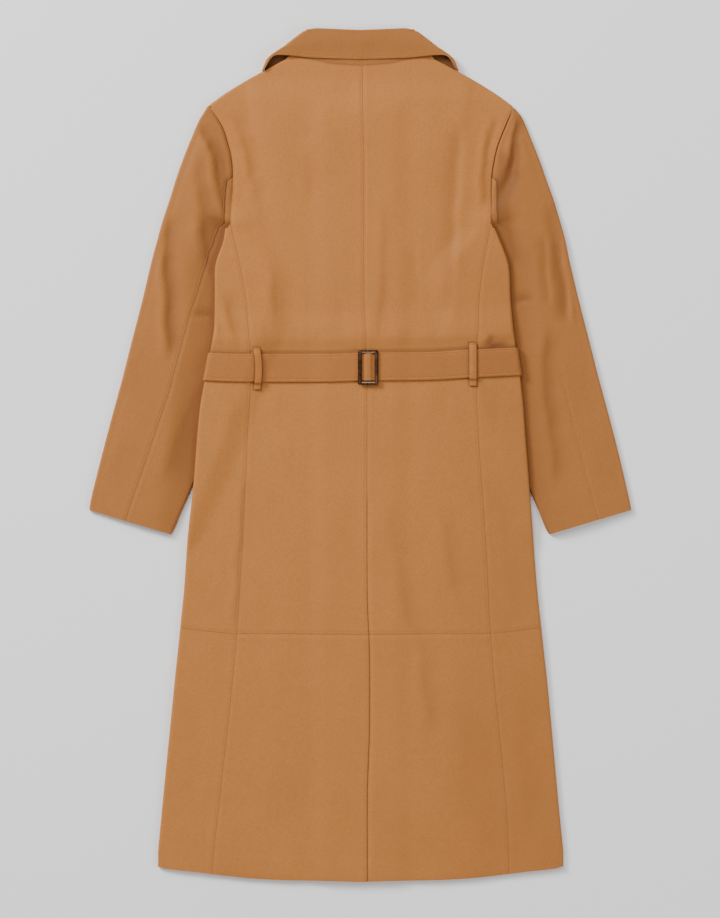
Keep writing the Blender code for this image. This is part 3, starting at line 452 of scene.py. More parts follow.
def fold_radius(x, y):
    """Radius of the fold where the back turns under to the front."""
    return (back_height(x, y) - front_lift(x, y)) / 2


def follow_belt(x, y):
    """Bends the rows near the belt to run along it."""
    near = ramp(110.0, 60.0, np.abs(y - BELT_LEVEL_Y))
    return y + (belt_y(x) - BELT_LEVEL_Y) * near


def seam_rows(x, y):
    """Bends the last rows of the upper pieces to the seam across the skirt."""
    near = ramp(-120.0, KNEE_LEVEL, y)
    return y + (knee_y(x, seam_gap() / 2) - KNEE_LEVEL) * near


def hem_rows(x, y):
    """Fits the rows of the lower pieces between the seam and the hem."""
    t = (y - KNEE_LEVEL) / (HEM_LEVEL - KNEE_LEVEL)
    return mix(knee_y(x, -seam_gap() / 2), curve(HEM, np.abs(x)), t)


def vent_step(x, y):
    """The right side of the vent lies under the left one."""
    inside = ramp(VENT_TOP_Y + 25.0, VENT_TOP_Y, y)
    past = x - curve(CENTRE_BACK, y)
    shown = mix(0.5, 0.85, ramp(-120.0, -330.0, y))
    return (wall() + 0.2) * inside * mix(1.0, shown * ramp(9.0, 0.5, past), ramp(-3.0, 0.0, past))


# Grids

def fine_rows(table, step, near_top=False, near_end=False):
    """Pairs of y between the rows of a table, closer together beside sewn edges."""
    table = np.array(table, float)
    rows = []
    for a, b in zip(table, table[1:]):
        count = max(1, int(math.ceil(abs(b - a).max() / step)))
        rows += [mix(a, b, n / count) for n in range(count)]
    rows.append(table[-1])
    if near_top:
        rows[1:2] = [rows[0] - d for d in SEWN_STEPS[1:] if d < step * 0.8] + [rows[1]]
    if near_end:
        rows[-1:] = [rows[-1] + d for d in SEWN_STEPS[::-1] if d < step * 0.8]
    return np.array(rows)


def shares(widths, step, sewn_start=True, sewn_end=True):
    """Shares of each row's width, closer together beside sewn edges."""
    widths = np.asarray(widths, float).reshape(-1, 1)
    lead = np.array(SEWN_STEPS if sewn_start else [0.0])
    tail = np.array(SEWN_STEPS[::-1] if sewn_end else [0.0])
    room = 1.6 * (lead[-1] + tail[0]) + 0.01
    squeeze = np.minimum(1.0, widths / room)
    middle = widths - (lead[-1] + tail[0]) * squeeze
    count = max(2, int(math.ceil(middle.max() / step)))
    between = np.linspace(0, 1, count + 1)[1:-1]
    at = [lead * squeeze, lead[-1] * squeeze + between * middle, widths - tail * squeeze]
    return np.concatenate(at, axis=1) / widths


def stack(x, y, z):
    """Points from their coordinates."""
    x, y, z = np.broadcast_arrays(x, y, z)
    return np.stack([x, y, z], axis=-1)


def fold_round(centre, outward, low, high, stretch=1.0):
    """Rows of points round a fold, from just past its top to just before its underside."""
    radius = (high - low) / 2
    ring = []
    for angle in np.linspace(90, -90, 9)[1:-1]:
        turned = math.radians(angle)
        reach = radius * math.cos(turned) * stretch
        ring.append(stack(centre[0] + outward[0] * reach, centre[1] + outward[1] * reach,
                          low + radius * (1 + math.sin(turned))))
    return ring


def cut_of(grid, keep, closed):
    """Width and length in metres of the flat leather that the grid is made from."""
    across = np.linalg.norm(np.diff(grid, axis=1), axis=-1) * (keep[:, 1:] & keep[:, :-1])
    along = np.linalg.norm(np.diff(grid, axis=0), axis=-1) * (keep[1:] & keep[:-1])
    width = across.sum(axis=1).max()
    if closed:
        width += np.linalg.norm(grid[:, 0] - grid[:, -1], axis=-1).max()
    return width * MM, along.sum(axis=0).max() * MM


def far_beyond(distance, columns):
    """Distances from a seam, filled up to all the columns of a piece, where none is near."""
    far = np.full((len(distance), columns - distance.shape[1]), FAR)
    return np.concatenate([distance, far], axis=1)


# Pieces

def placed(name, data):
    """A new object of the scene."""
    made = bpy.data.objects.new(name, data)
    bpy.context.scene.collection.objects.link(made)
    return made


def as_plain(body, name):
    """The finished shape as a mesh of its own, with no modifiers."""
    graph = bpy.context.evaluated_depsgraph_get()
    mesh = bpy.data.meshes.new_from_object(body.evaluated_get(graph))
    mesh.name = name
    bpy.data.objects.remove(body, do_unlink=True)
    return placed(name, mesh)


def give_finish(piece, finish):
    """Gives a piece its finish, and smooth faces between its sharp edges."""
    mesh = piece.data
    mesh.materials.clear()
    mesh.materials.append(finish)
    mesh.shade_smooth()
    mesh.set_sharp_from_angle(angle=math.radians(52))


def mark(mesh, word, values):
    """Writes a number for each point of a mesh."""
    marks = mesh.attributes.new(word, "FLOAT", "POINT")
    marks.data.foreach_set("value", values.astype(np.float32))


def quads_between(keep, closed, flip):
    """Faces between the kept points of a grid, in the order of those points."""
    index = -np.ones(keep.shape, int)
    index[keep] = np.arange(keep.sum())
    right = np.roll(index, -1, axis=1)
    quads = np.stack([index[:-1], right[:-1], right[1:], index[1:]], axis=-1)
    if not closed:
        quads = quads[:, :-1]
    quads = quads.reshape(-1, 4)
    quads = quads[(quads >= 0).all(axis=1)]
    return quads[:, ::-1] if flip else quads


def lift_to_floor(mesh):
    """Brings what is below the floor up to it, and returns every point's height."""
    place = np.empty(3 * len(mesh.vertices), np.float32)
    mesh.vertices.foreach_get("co", place)
    place[2::3] = np.maximum(place[2::3], 0.0)
    mesh.vertices.foreach_set("co", place)
    return place[2::3] / MM


def settle_painted_shade(mesh, height, inside):
    """Keeps the painted shade of the hollows off the side on the floor, and sets the inner wall's.
    """
    marks = mesh.attributes["tucked"]
    values = np.empty(len(mesh.vertices), np.float32)
    marks.data.foreach_get("value", values)
    values = mix(PLAIN_PAINTED_SHADE, values, ramp(0.2, 1.2, height))
    if inside is not None:
        values[len(inside):] = inside
    marks.data.foreach_set("value", values.astype(np.float32))


def shell(name, grid, finish, node, thick=None, closed=False, flip=False, keep=None,
          edge=FAR, tucked=0.0, painted_shade_inside=None):
    """A wall of leather on a grid of outer points, standing for its CAD node; tucked is how much
    painted shade its colour gets.
    """
    keep = np.ones(grid.shape[:2], bool) if keep is None else keep
    mesh = bpy.data.meshes.new(name)
    quads = quads_between(keep, closed, flip)
    mesh.from_pydata((grid[keep] * MM).tolist(), [], quads.tolist())
    # tucked carries the painted shade of hollows and creases into the leather's colour
    for word, values, most in (("edge_distance", edge, FAR), ("tucked", tucked, MOST_PAINTED_SHADE)):
        mark(mesh, word, np.clip(np.broadcast_to(values, keep.shape)[keep], 0.0, most))
    body = placed(name + "_raw", mesh)
    thickness = body.modifiers.new("Leather", "SOLIDIFY")
    thickness.thickness = (thick or wall()) * MM
    thickness.offset = -1.0
    area = sum(face.area for face in mesh.polygons)
    width, length = cut_of(grid, keep, closed)
    piece = as_plain(body, name)
    give_finish(piece, finish)
    height = lift_to_floor(piece.data)
    settle_painted_shade(piece.data, height, None if painted_shade_inside is None else painted_shade_inside[keep])
    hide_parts(node)
    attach(piece, "root")
    min(area, width * length)


def stitch_along(name, line):
    """Keeps a line of points for the topstitching."""
    line = np.array(line, float)
    line[:, 2] += THREAD_LIFT
    stitch_lines[name] = line


# Body

def back_upper(side, word):
    """Half the back above the knee, with the shoulder's turn and the vent's underlap."""
    gap = seam_gap() / 2
    tip = abs(float(back_cut(side, TIP_LEVEL))) - gap
    tip_y = float(curve(NECK_AND_SHOULDER, tip))
    levels = fine_rows([(NECK_LEVEL, tip_y)] + UPPER_ROWS, step=4.0, near_end=True)
    y_in, y_out = levels[:, :1], levels[:, 1:]
    start = curve(CENTRE_BACK, y_in) + side * gap
    end = back_cut(side, y_out) - side * gap
    s = shares(np.abs(end - start), STEP)
    x = mix(start, end, s)
    top_x = mix(start[0], end[0], s[0])
    top_y = mix(NECK_LEVEL, tip_y, s[0])
    rise = curve(NECK_AND_SHOULDER, np.abs(top_x)) - top_y
    y = mix(y_in, y_out, s) + rise * ramp(380.0, NECK_LEVEL, y_in)
    y = seam_rows(x, follow_belt(x, y))
    keep = np.ones(x.shape, bool)
    start_distance = np.abs(x - start)
    lead = 0
    if side > 0:
        lead = len(VENT_COLUMNS)
        more_x = start + VENT_COLUMNS
        more_y = np.broadcast_to(seam_rows(more_x, y_in), more_x.shape)
        x = np.concatenate([more_x, x], axis=1)
        y = np.concatenate([more_y, y], axis=1)
        keep = np.concatenate([np.broadcast_to(y_in <= VENT_TOP_Y, more_x.shape), keep], axis=1)
        start_distance = np.concatenate([np.full(more_x.shape, FAR), start_distance], axis=1)
    # The shoulder turns over to the front
    slope = shoulder_rise(np.abs(x[0]))
    length = np.hypot(4.0, slope)
    out_x, out_y = -slope / length * side, 4.0 / length
    radius = fold_radius(x[0], y[0])
    below_top = np.hypot(x - x[0], y - y[0])
    pull = radius * ramp(92.0, NECK_END, np.abs(x[0])) * np.exp(-below_top / 9.0)
    x = x - out_x * pull
    y = y - out_y * pull
    side_distance = np.abs(end - x)
    knee_distance = np.abs(y - knee_y(x, gap))
    neck_distance = np.where(np.abs(x) < NECK_END, below_top, FAR)
    edge = np.minimum(np.minimum(start_distance, side_distance), knee_distance)
    edge = np.minimum(edge, neck_distance)
    z = back_height(x, y) - sewn_dip(start_distance)
    z = z - sewn_dip(side_distance) * ramp(0, 9, below_top) - sewn_dip(knee_distance)
    if side > 0:
        z = z - vent_step(x, y)
    turned = np.abs(x[0]) >= NECK_END
    turned[:lead] = False
    low = front_lift(x[0], y[0])
    rolls = fold_round((x[0], y[0]), (out_x, out_y), low, z[0])
    rolls.append(stack(x[0], y[0], low))
    grid = np.concatenate([np.stack(rolls[::-1]), stack(x, y, z)])
    keep = np.concatenate([np.broadcast_to(turned, (len(rolls), len(turned))), keep])
    edge = np.concatenate([np.full((len(rolls), edge.shape[1]), FAR), edge])
    # Painted shade: a dark line along the neck seam, just under the collar's stand
    neck_seam_shade = 1.4 * np.exp(-(neck_distance / 1.5) ** 2)
    neck_seam_shade = np.concatenate([np.zeros((len(rolls), edge.shape[1])), neck_seam_shade])
    shell(f"back_{word}_upper_panel", grid, leather("coat_leather"), f"back_{word}_upper",
          flip=side > 0, keep=keep, edge=edge, tucked=body_painted_shade(grid) + neck_seam_shade)
    below_neck = len(rolls) + 3
    stitch_along(f"centre_{word}", grid[below_neck:, lead + SEAT])
    stitch_along(f"side_back_{word}", grid[below_neck:, -1 - SEAT])
    stitch_along(f"knee_{word}", grid[-1 - SEAT, lead:])


def back_lower(side, word):
    """Half the back below the knee, down to the hem."""
    gap = seam_gap() / 2
    levels = fine_rows(LOWER_ROWS, LOWER_STEP, near_top=True)[:, :1]
    start = curve(CENTRE_BACK, levels) + side * gap
    end = back_cut(side, levels) - side * gap
    x = mix(start, end, shares(np.abs(end - start), LOWER_STEP))
    lead = 0
    if side > 0:
        lead = len(VENT_COLUMNS)
        x = np.concatenate([start + VENT_COLUMNS, x], axis=1)
    y = hem_rows(x, levels)
    start_distance = np.where((x - start) * side >= 0, np.abs(x - start), FAR)
    side_distance = np.abs(end - x)
    knee_distance = np.abs(y - knee_y(x, -gap))
    hem_distance = np.abs(y - curve(HEM, np.abs(x)))
    edge = np.minimum(np.minimum(start_distance, side_distance), knee_distance)
    z = back_height(x, y) - sewn_dip(start_distance) - sewn_dip(side_distance)
    z = z - sewn_dip(knee_distance) - hem_roll(hem_distance)
    if side > 0:
        z = z - vent_step(x, y)
    grid = stack(x, y, z)
    shell(f"back_{word}_lower_panel", grid, leather("coat_leather"), f"back_{word}_lower",
          flip=side > 0, edge=edge, tucked=body_painted_shade(grid))
    stitch_along(f"centre_low_{word}", grid[:, lead + SEAT])
    stitch_along(f"side_back_low_{word}", grid[:, -1 - SEAT])
    stitch_along(f"knee_low_{word}", grid[SEAT, lead:])


def hem_roll(distance):
    """The turned-up hem: a soft edge, with a faint line where the turning ends."""
    return 0.5 * np.exp(-(distance / 2.0) ** 2) + 0.25 * np.exp(-((distance - 36) / 2.5) ** 2)


def side_grid(side, y_seam, y_edge, bend):
    """The side panel's rows: back seam, round the fold, to the seam below."""
    gap = seam_gap() / 2
    edge_x = body_edge(side, y_edge)
    seam = back_cut(side, y_seam) + side * gap
    radius = fold_radius(edge_x, bend(edge_x, y_edge))
    foot = edge_x - side * radius
    s = shares(np.abs(foot - seam), STEP, sewn_end=False)
    x = mix(seam, foot, s)
    y = bend(x, mix(y_seam, y_edge, s))
    distance = np.abs(x - seam)
    z = back_height(x, y) - sewn_dip(distance) * ramp(0, 4, np.abs(x - foot))
    low = front_lift(foot, y[:, -1:])
    ring = fold_round((foot, y[:, -1:]), (side, 0.0), low, z[:, -1:])
    under = np.linspace(1, 0, 9)
    x_under = mix(seam, foot, under)
    y_under = bend(x_under, mix(y_seam, y_edge, under))
    lower = stack(x_under, y_under, front_lift(x_under, y_under))
    grid = np.concatenate([stack(x, y, z)] + ring + [lower], axis=1)
    return grid, far_beyond(distance, grid.shape[1])


def side_upper(side, word):
    """Side panel from the armpit to the knee."""
    def bend(x, y):
        return seam_rows(x, follow_belt(x, y))

    table = [(341.0, 334.5), (315, 315), (KNEE_LEVEL, KNEE_LEVEL)]
    levels = fine_rows(table, STEP, near_end=True)
    grid, edge = side_grid(side, levels[:, :1], levels[:, 1:], bend)
    knee_distance = np.abs(grid[..., 1] - knee_y(grid[..., 0], seam_gap() / 2))
    on_top = grid[..., 2] > front_lift(grid[..., 0], grid[..., 1]) + wall()
    grid[..., 2] -= sewn_dip(knee_distance) * on_top * ramp(0, FAR, edge + 4)
    edge = np.minimum(edge, np.where(on_top, knee_distance, FAR))
    shell(f"side_{word}_upper_panel", grid, leather("coat_leather"), f"side_{word}_upper",
          flip=side > 0, edge=edge, tucked=body_painted_shade(grid))
    stitch_along(f"side_{word}", grid[:, SEAT])


def side_lower(side, word):
    """Side panel from the knee to the hem."""
    levels = fine_rows(LOWER_ROWS, step=4.6, near_top=True)[:, :1]
    grid, edge = side_grid(side, levels, levels, hem_rows)
    shell(f"side_{word}_lower_panel", grid, leather("coat_leather"), f"side_{word}_lower",
          flip=side > 0, edge=edge, tucked=body_painted_shade(grid))
    stitch_along(f"side_low_{word}", grid[:, SEAT])


def scoop_at(y):
    """How much deeper the front is cut at the armhole."""
    return 12.0 * np.sin(math.pi * ramp(ARMPIT_Y, TIP_LEVEL, y))


def front_top(side, x):
    """Neck line, then the shoulder where the back turns under it."""
    away = np.maximum(side * x, 0.0)
    slope = shoulder_rise(away) / 4.0
    inset = fold_radius(x, curve(NECK_AND_SHOULDER, away)) + seam_gap() + 1.6
    shoulder = curve(NECK_AND_SHOULDER, away) - inset * np.hypot(1.0, slope)
    return np.where(away < NECK_END, curve(FRONT_NECK, away), shoulder)


def front(side, word):
    """One front, from its lapped edge to the seam under the side and the armhole."""
    gap = seam_gap() / 2
    levels = np.concatenate([
        fine_rows(FRONT_ROWS, FRONT_STEP), fine_rows(LOWER_ROWS, FRONT_STEP)[1:]])
    y_in, y_out = levels[:, :1], levels[:, 1:]
    near_top = ramp(FRONT_TOP_FROM, FRONT_NECK_LEVEL, y_in)
    start = np.full(y_in.shape, -side * LAP_HALF)
    # The armhole's cut and the height of its end depend on each other
    y_end = y_out
    for _ in range(3):
        end = back_cut(side, y_end) - side * (gap + scoop_at(y_end))
        y_end = y_out + (front_top(side, end) - FRONT_TIP_LEVEL) * near_top
    s = np.linspace(0, 1, FRONT_COLUMNS)[None, :]
    x = mix(start, end, s)
    y = mix(y_in, y_out, s)
    y = y + (front_top(side, x) - mix(FRONT_NECK_LEVEL, FRONT_TIP_LEVEL, s)) * near_top
    y = np.where(y_in < KNEE_LEVEL, hem_rows(x, y), seam_rows(x, follow_belt(x, y)))
    lift = front_lift(x, y)
    lap = FRONT_LAP * ramp(-LAP_FOOT, -LAP_TOP, x) if side < 0 else 0.0
    soft = np.maximum(creases_at(BODY_CREASES, -x, y), 0.0)
    z = lift + lap + 0.25 * soft * (1.0 - held_down(x, y))
    shell(f"front_{word}_panel", stack(x, y, z), leather("coat_leather"), f"front_{word}",
          flip=side < 0)


# Sleeves

def sleeve_creases(side):
    """The crease table of one sleeve."""
    return LEFT_SLEEVE_CREASES if side < 0 else RIGHT_SLEEVE_CREASES


def front_armhole(side, y):
    """X of the armhole where the front is cut for it."""
    return back_cut(side, y) - side * scoop_at(y)


def past_armpit(orders):
    """0 along the sleeve's free length, 1 where it is sewn in."""
    return ramp(0.0, 0.3, orders - ARMPIT_SECTION)


def sleeve_start(side, y):
    """Distance from the middle at which the sleeve comes out of the armhole or the body."""
    return np.where(y > ARMPIT_Y, np.abs(back_cut(side, y)), np.abs(body_edge(side, y)))


def sleeve_frame(side, orders):
    """Inner and outer ends of the sleeve's sections, and the seam's share between them."""
    tip = curve(NECK_AND_SHOULDER, abs(float(back_cut(side, TIP_LEVEL))))
    y_in = np.minimum(curve(SLEEVE_SECTIONS, orders, 1), tip - 0.4)
    y_out = np.minimum(curve(SLEEVE_SECTIONS, orders, 2), tip - 1.8)
    share = np.interp(orders, [row[0] for row in SLEEVE_SECTIONS],
                      [row[3 if side < 0 else 4] for row in SLEEVE_SECTIONS])
    free = side * curve(SLEEVE_INNER, y_in)
    sewn = back_cut(side, y_in) + side * seam_gap() / 2
    sewn = sewn - side * 1.6 * ramp(18.0, 20.5, orders)
    inner_x = mix(free, sewn, past_armpit(orders))
    outer_x = curve(SLEEVE_EDGE, y_out, column(side))
    return (inner_x, y_in), (outer_x, y_out), share


def sleeve_height(side, orders, inner, x, y):
    """Height of the upper layer of the sleeve."""
    bound = sleeve_start(side, y)
    fold = np.abs(curve(SLEEVE_EDGE, y, column(side)))
    across = np.clip((np.abs(x) - bound) / (fold - bound), 0.0, 1.0)
    puff = sizes().sleeve_puff / MM * np.sin(math.pi * across ** 0.8) * ramp(513.0, 440.0, y)
    loose = sizes().sleeve_loft / MM + puff - creases_at(sleeve_creases(side), x, y)
    loose = loose + 0.6 * slow_waves(x, y)
    start = back_height(inner[0], inner[1])
    beside = side * (x - inner[0])
    head = mix(start, loose, ramp(0.0, LEAVING, beside))
    rolled = mix(1.9, 0.8, ramp(496.0, 514.0, y))
    head = head - rolled * np.exp(-(beside / 3.2) ** 2) * ramp(ARMPIT_Y, 400.0, y)
    past = side * (x - body_edge(side, y))
    tucked = mix(sleeve_tuck(y), loose, ramp(2.0, 46.0, past))
    high = mix(tucked, head, ramp(-1.6 * ramp(6.0, 26.0, past), 2.2, orders - ARMPIT_SECTION))
    return np.maximum(high, 2 * wall() + 0.5)


def along_armhole(value, y):
    """Keeps a value to the armhole, so that it fades out at the armpit and the shoulder."""
    return value * ramp(ARMPIT_Y, 350.0, y) * ramp(514.0, 480.0, y)


def seam_shown(side, y):
    """How clearly the sleeve's back seam shows; on the right it is pressed nearly flat."""
    if side < 0:
        return np.ones_like(y)
    return np.maximum(0.6 * ramp(110.0, 60.0, y), ramp(345.0, 360.0, y))


def sleeve_painted_shade(side, grid):
    """How much painted shade the sleeve gets: beside the body, along the armhole seam, in a contact
    shadow at the body's edge, along its creases and for the armhole's hollow.
    """
    x, y = grid[..., 0], grid[..., 1]
    away = np.maximum(np.abs(x) - sleeve_start(side, y), 0.0)
    beside = 0.8 * np.exp(-(away / (32.0 if side < 0 else 42.0)) ** 2) * ramp(440.0, 330.0, y)
    beside = beside + 0.3 * np.exp(-(away / 32.0) ** 2) * ramp(330.0, 440.0, y)
    seam = along_armhole(np.exp(-(away / 2.4) ** 2), y)
    seam = seam * (0.35 + 0.55 * ramp(385.0, 415.0, y) if side < 0 else 0.45)
    contact_shadow = 0.8 * np.exp(-(away / 4.0) ** 2) * ramp(345.0, 330.0, y)
    folds = 0.36 * np.maximum(creases_at(sleeve_creases(side), x, y), 0.0)
    hollow = np.maximum(creases_at(LEFT_ARMHOLE_SHADE if side < 0 else RIGHT_ARMHOLE_SHADE, x, y), 0.0)
    # A base of painted shade over the whole sleeve, a little more on the left
    plain = 0.68 if side < 0 else 0.62
    return np.minimum(plain + beside + seam + contact_shadow + folds + hollow, 2.0)


def behind_armhole_shade(distance, y):
    """Painted shade in the hollow along the sleeve's back seam where it nears the armhole."""
    hollow = np.exp(-((distance - 1.6) / 3.2) ** 2) * (distance < FAR - 1.0)
    return 0.8 * hollow * ramp(330.0, 350.0, y) * ramp(424.0, 398.0, y)


def body_painted_shade(grid):
    """How much painted shade the body gets: along its creases, above the belt, just above the
    belt's top edge, at the armholes and more towards the right side.
    """
    x, y = grid[..., 0], grid[..., 1]
    depth = 0.22 * np.maximum(creases_at(BODY_CREASES, x, y), 0.0)
    above = y - belt_y(x)
    depth = depth + 0.45 * ramp(48.0, 24.0, above) * ramp(0.0, 20.0, above)
    # Painted shade: the right side darker, as the light falls from the left
    turning = 0.42 * ramp(60.0, 215.0, x) * ramp(420.0, 260.0, y)
    side = np.where(x < 0, back_cut(-1, y) - x, x - back_cut(1, y))
    seam = along_armhole(np.exp(-(side / 1.6) ** 2), y)
    seam = seam * np.where(x < 0, 0.5, 0.25)
    # Painted shadow of the belt's top edge on the back
    belted = 1.6 * np.exp(-((above - 22.5) / 2.6) ** 2)
    return depth + turning + seam + belted


def sleeve_orders(first, last):
    """Places along the sleeve, from cuff to head, about one step apart."""
    places = []
    for a, b in zip(SLEEVE_SECTIONS[first:last], SLEEVE_SECTIONS[first + 1:last + 1]):
        count = max(1, int(math.ceil(max(b[1] - a[1], b[2] - a[2]) / STEP)))
        places += [a[0] + n / count for n in range(count)]
    return np.array(places + [float(last)])[:, None]


def sleeve_parts(side, orders):
    """The sleeve's frame, with the way from its inner to its outer end."""
    inner, outer, share = sleeve_frame(side, orders)
    dx, dy = outer[0] - inner[0], outer[1] - inner[1]
    length = np.hypot(dx, dy)
    return inner, outer, share, (dx / length, dy / length)


def sleeve_outer(side, word):
    """The larger piece: from the seam behind, round the outer fold, to the seam below."""
    orders = sleeve_orders(0, TOP_SECTION)
    inner, outer, share, outward = sleeve_parts(side, orders)
    shown = seam_shown(side, inner[1])
    gap = np.where(share > 0, seam_gap() / 2, 0.0) * mix(0.3, 1.0, shown)
    high = sleeve_height(side, orders, inner, outer[0], outer[1])
    radius = high / 2
    seam_x = mix(inner[0], outer[0], share) + side * gap
    seam_y = mix(inner[1], outer[1], share)
    foot_x, foot_y = outer[0] - outward[0] * radius, outer[1] - outward[1] * radius
    s = shares(np.hypot(foot_x - seam_x, foot_y - seam_y), STEP, sewn_end=False)
    x, y = mix(seam_x, foot_x, s), mix(seam_y, foot_y, s)
    distance = np.hypot(x - seam_x, y - seam_y)
    z = sleeve_height(side, orders, inner, x, y)
    z = mix(high, z, ramp(0, 12, np.hypot(x - foot_x, y - foot_y)))
    z = z - sewn_dip(distance) * mix(0.15, 1.0, shown)
    ring = fold_round((foot_x, foot_y), outward, np.zeros_like(high), high)
    front_edge = front_armhole(side, inner[1]) + side * seam_gap() / 2
    below = mix(inner[0], front_edge, past_armpit(orders))
    end_x = mix(below, outer[0], share * 0.8) + side * gap
    end_x = side * np.minimum(side * end_x, side * foot_x - 0.3)
    end_y = mix(inner[1], outer[1], share * 0.8)
    t = np.linspace(0, 1, 15)[None, :]
    lower = stack(mix(foot_x, end_x, t), mix(foot_y, end_y, t), np.zeros_like(t))
    grid = np.concatenate([stack(x, y, z)] + ring + [lower], axis=1)
    edge = far_beyond(distance + 2.0 * (1.0 - shown), grid.shape[1])
    # Painted shade from the sleeve's hollows, creases and back seam
    shell(f"sleeve_{word}_outer_panel", grid, leather("coat_leather"), f"sleeve_{word}_outer",
          flip=side < 0, edge=edge,
          tucked=sleeve_painted_shade(side, grid) + behind_armhole_shade(edge, grid[..., 1]))
    sewn_line = grid[:, SEAT]
    stitched_to = 500.0 if side < 0 else 80.0
    stitch_along(f"sleeve_{word}", sewn_line[sewn_line[:, 1] < stitched_to])


def sleeve_under(side, word):
    """The narrower piece, with the inner fold; it stops at the armhole."""
    orders = sleeve_orders(0, HEAD_SECTION)
    orders[-1] = HEAD_SECTION - 0.12
    inner, outer, share, outward = sleeve_parts(side, orders)
    shown = seam_shown(side, inner[1])
    gap = seam_gap() / 2 * mix(0.3, 1.0, shown)
    seam_x = mix(inner[0], outer[0], share) - side * gap
    seam_y = mix(inner[1], outer[1], share)
    high = sleeve_tuck(inner[1])
    stretch = mix(1.0, 1.9, ramp(6.0, 9.0, orders))
    reach = high / 2 * stretch
    opened = past_armpit(orders)
    foot_x = inner[0] + outward[0] * reach * (1 - opened)
    foot_y = inner[1] + outward[1] * reach * (1 - opened)
    s = shares(np.hypot(foot_x - seam_x, foot_y - seam_y), STEP, sewn_end=False)
    x, y = mix(seam_x, foot_x, s), mix(seam_y, foot_y, s)
    distance = np.hypot(x - seam_x, y - seam_y)
    z = sleeve_height(side, orders, inner, x, y)
    seen = ramp(0.0, 12.0, side * (x - body_edge(side, y))) * mix(0.15, 1.0, shown)
    z = z - sewn_dip(distance) * seen * ramp(0, 4, np.hypot(x - foot_x, y - foot_y))
    inward = (-outward[0], -outward[1])
    ring = fold_round((foot_x, foot_y), inward, np.zeros_like(high), high, stretch)
    front_edge = front_armhole(side, inner[1]) + side * gap
    below = mix(inner[0], front_edge, opened)
    end_x = mix(below, outer[0], share * 0.8) - side * gap
    end_y = mix(inner[1], outer[1], share * 0.8)
    first_x = mix(foot_x, front_edge, opened)
    t = np.linspace(0, 1, 11)[None, :]
    lower = stack(mix(first_x, end_x, t), mix(foot_y, end_y, t), np.zeros_like(t))
    grid = np.concatenate([stack(x, y, z)] + ring + [lower], axis=1)
    keep = np.ones(grid.shape[:2], bool)
    keep[:, x.shape[1]:x.shape[1] + len(ring)] = orders <= ARMPIT_SECTION
    edge = far_beyond(distance + 2.0 * (1.0 - shown), grid.shape[1])
    # Painted shade as on the outer piece, less of it on the strip above the armpit
    shell(f"sleeve_{word}_under_panel", grid, leather("coat_leather"), f"sleeve_{word}_under",
          flip=side > 0, keep=keep, edge=edge,
          tucked=sleeve_painted_shade(side, grid) - 0.8 * ramp(336.0, 350.0, grid[..., 1]))


# Collar

def along_path(path, share):
    """Points at shares of the length of a smooth path."""
    lengths = [0.0]
    for a, b in zip(path, path[1:]):
        lengths.append(lengths[-1] + math.dist(a, b))
    at = np.asarray(share) * lengths[-1]
    return (curve([(s, p[0]) for s, p in zip(lengths, path)], at),
            curve([(s, p[1]) for s, p in zip(lengths, path)], at))


def collar_loop(back, outward, low, front_path):
    """Both halves of a flattened loop: front, left side, back, right side, front."""
    side_x, side_y, high = back[-1]
    radius = (high - low) / 2
    half = [tuple(p) for p in back]
    for angle in np.linspace(90, -90, 11)[1:]:
        turned = math.radians(angle)
        reach = radius * math.cos(turned)
        half.append((side_x + outward[0] * reach, side_y + outward[1] * reach,
                     low + radius + radius * math.sin(turned)))
    half += [(x, y, low) for x, y in front_path]
    return [(-x, y, z) for x, y, z in reversed(half)] + half[1:]


def leaf_at(depth):
    """The row of the leaf's table at a share of its depth, without the share."""
    return [float(np.interp(depth, [r[0] for r in LEAF_ROWS], [r[n] for r in LEAF_ROWS]))
            if n == 7 else float(curve(LEAF_ROWS, depth, n)) for n in range(1, 8)]


def leaf_loop(depth, half, shift, dip=0.0):
    """One row of the leaf, or of the roll where it turns over onto the stand."""
    *levels, side_x, side_y, way = leaf_at(depth)
    outward = (math.cos(math.radians(way)), math.sin(math.radians(way)))
    turn_x = side_x - outward[0] * COLLAR_HALF_HEIGHT
    turn_y = side_y - outward[1] * COLLAR_HALF_HEIGHT
    stations = list(zip(COLLAR_STATIONS, levels + [turn_y]))
    droop = mix(3.2, 0.8, ramp(0.45, 0.9, BACK_SHARES)) * ramp(0.2, 1.0, depth)
    wave = 0.35 * np.sin(BACK_SHARES * 9.0 + 4.0 * depth) * ramp(0.1, 0.5, depth)
    back = np.stack([BACK_SHARES * turn_x, curve(stations, BACK_SHARES) + shift,
                     COLLAR_HALF_HEIGHT + half - droop - dip + wave * (1 - BACK_SHARES)], axis=-1)
    fold, rim = along_path(FRONT_FOLD, FRONT_SHARES), along_path(FRONT_EDGE, FRONT_SHARES)
    front_x = mix(fold[0], rim[0], depth) - 0.7 * shift
    front_y = mix(fold[1], rim[1], depth) + 0.7 * shift
    return collar_loop(back, outward, COLLAR_HALF_HEIGHT - half, list(zip(front_x, front_y)))


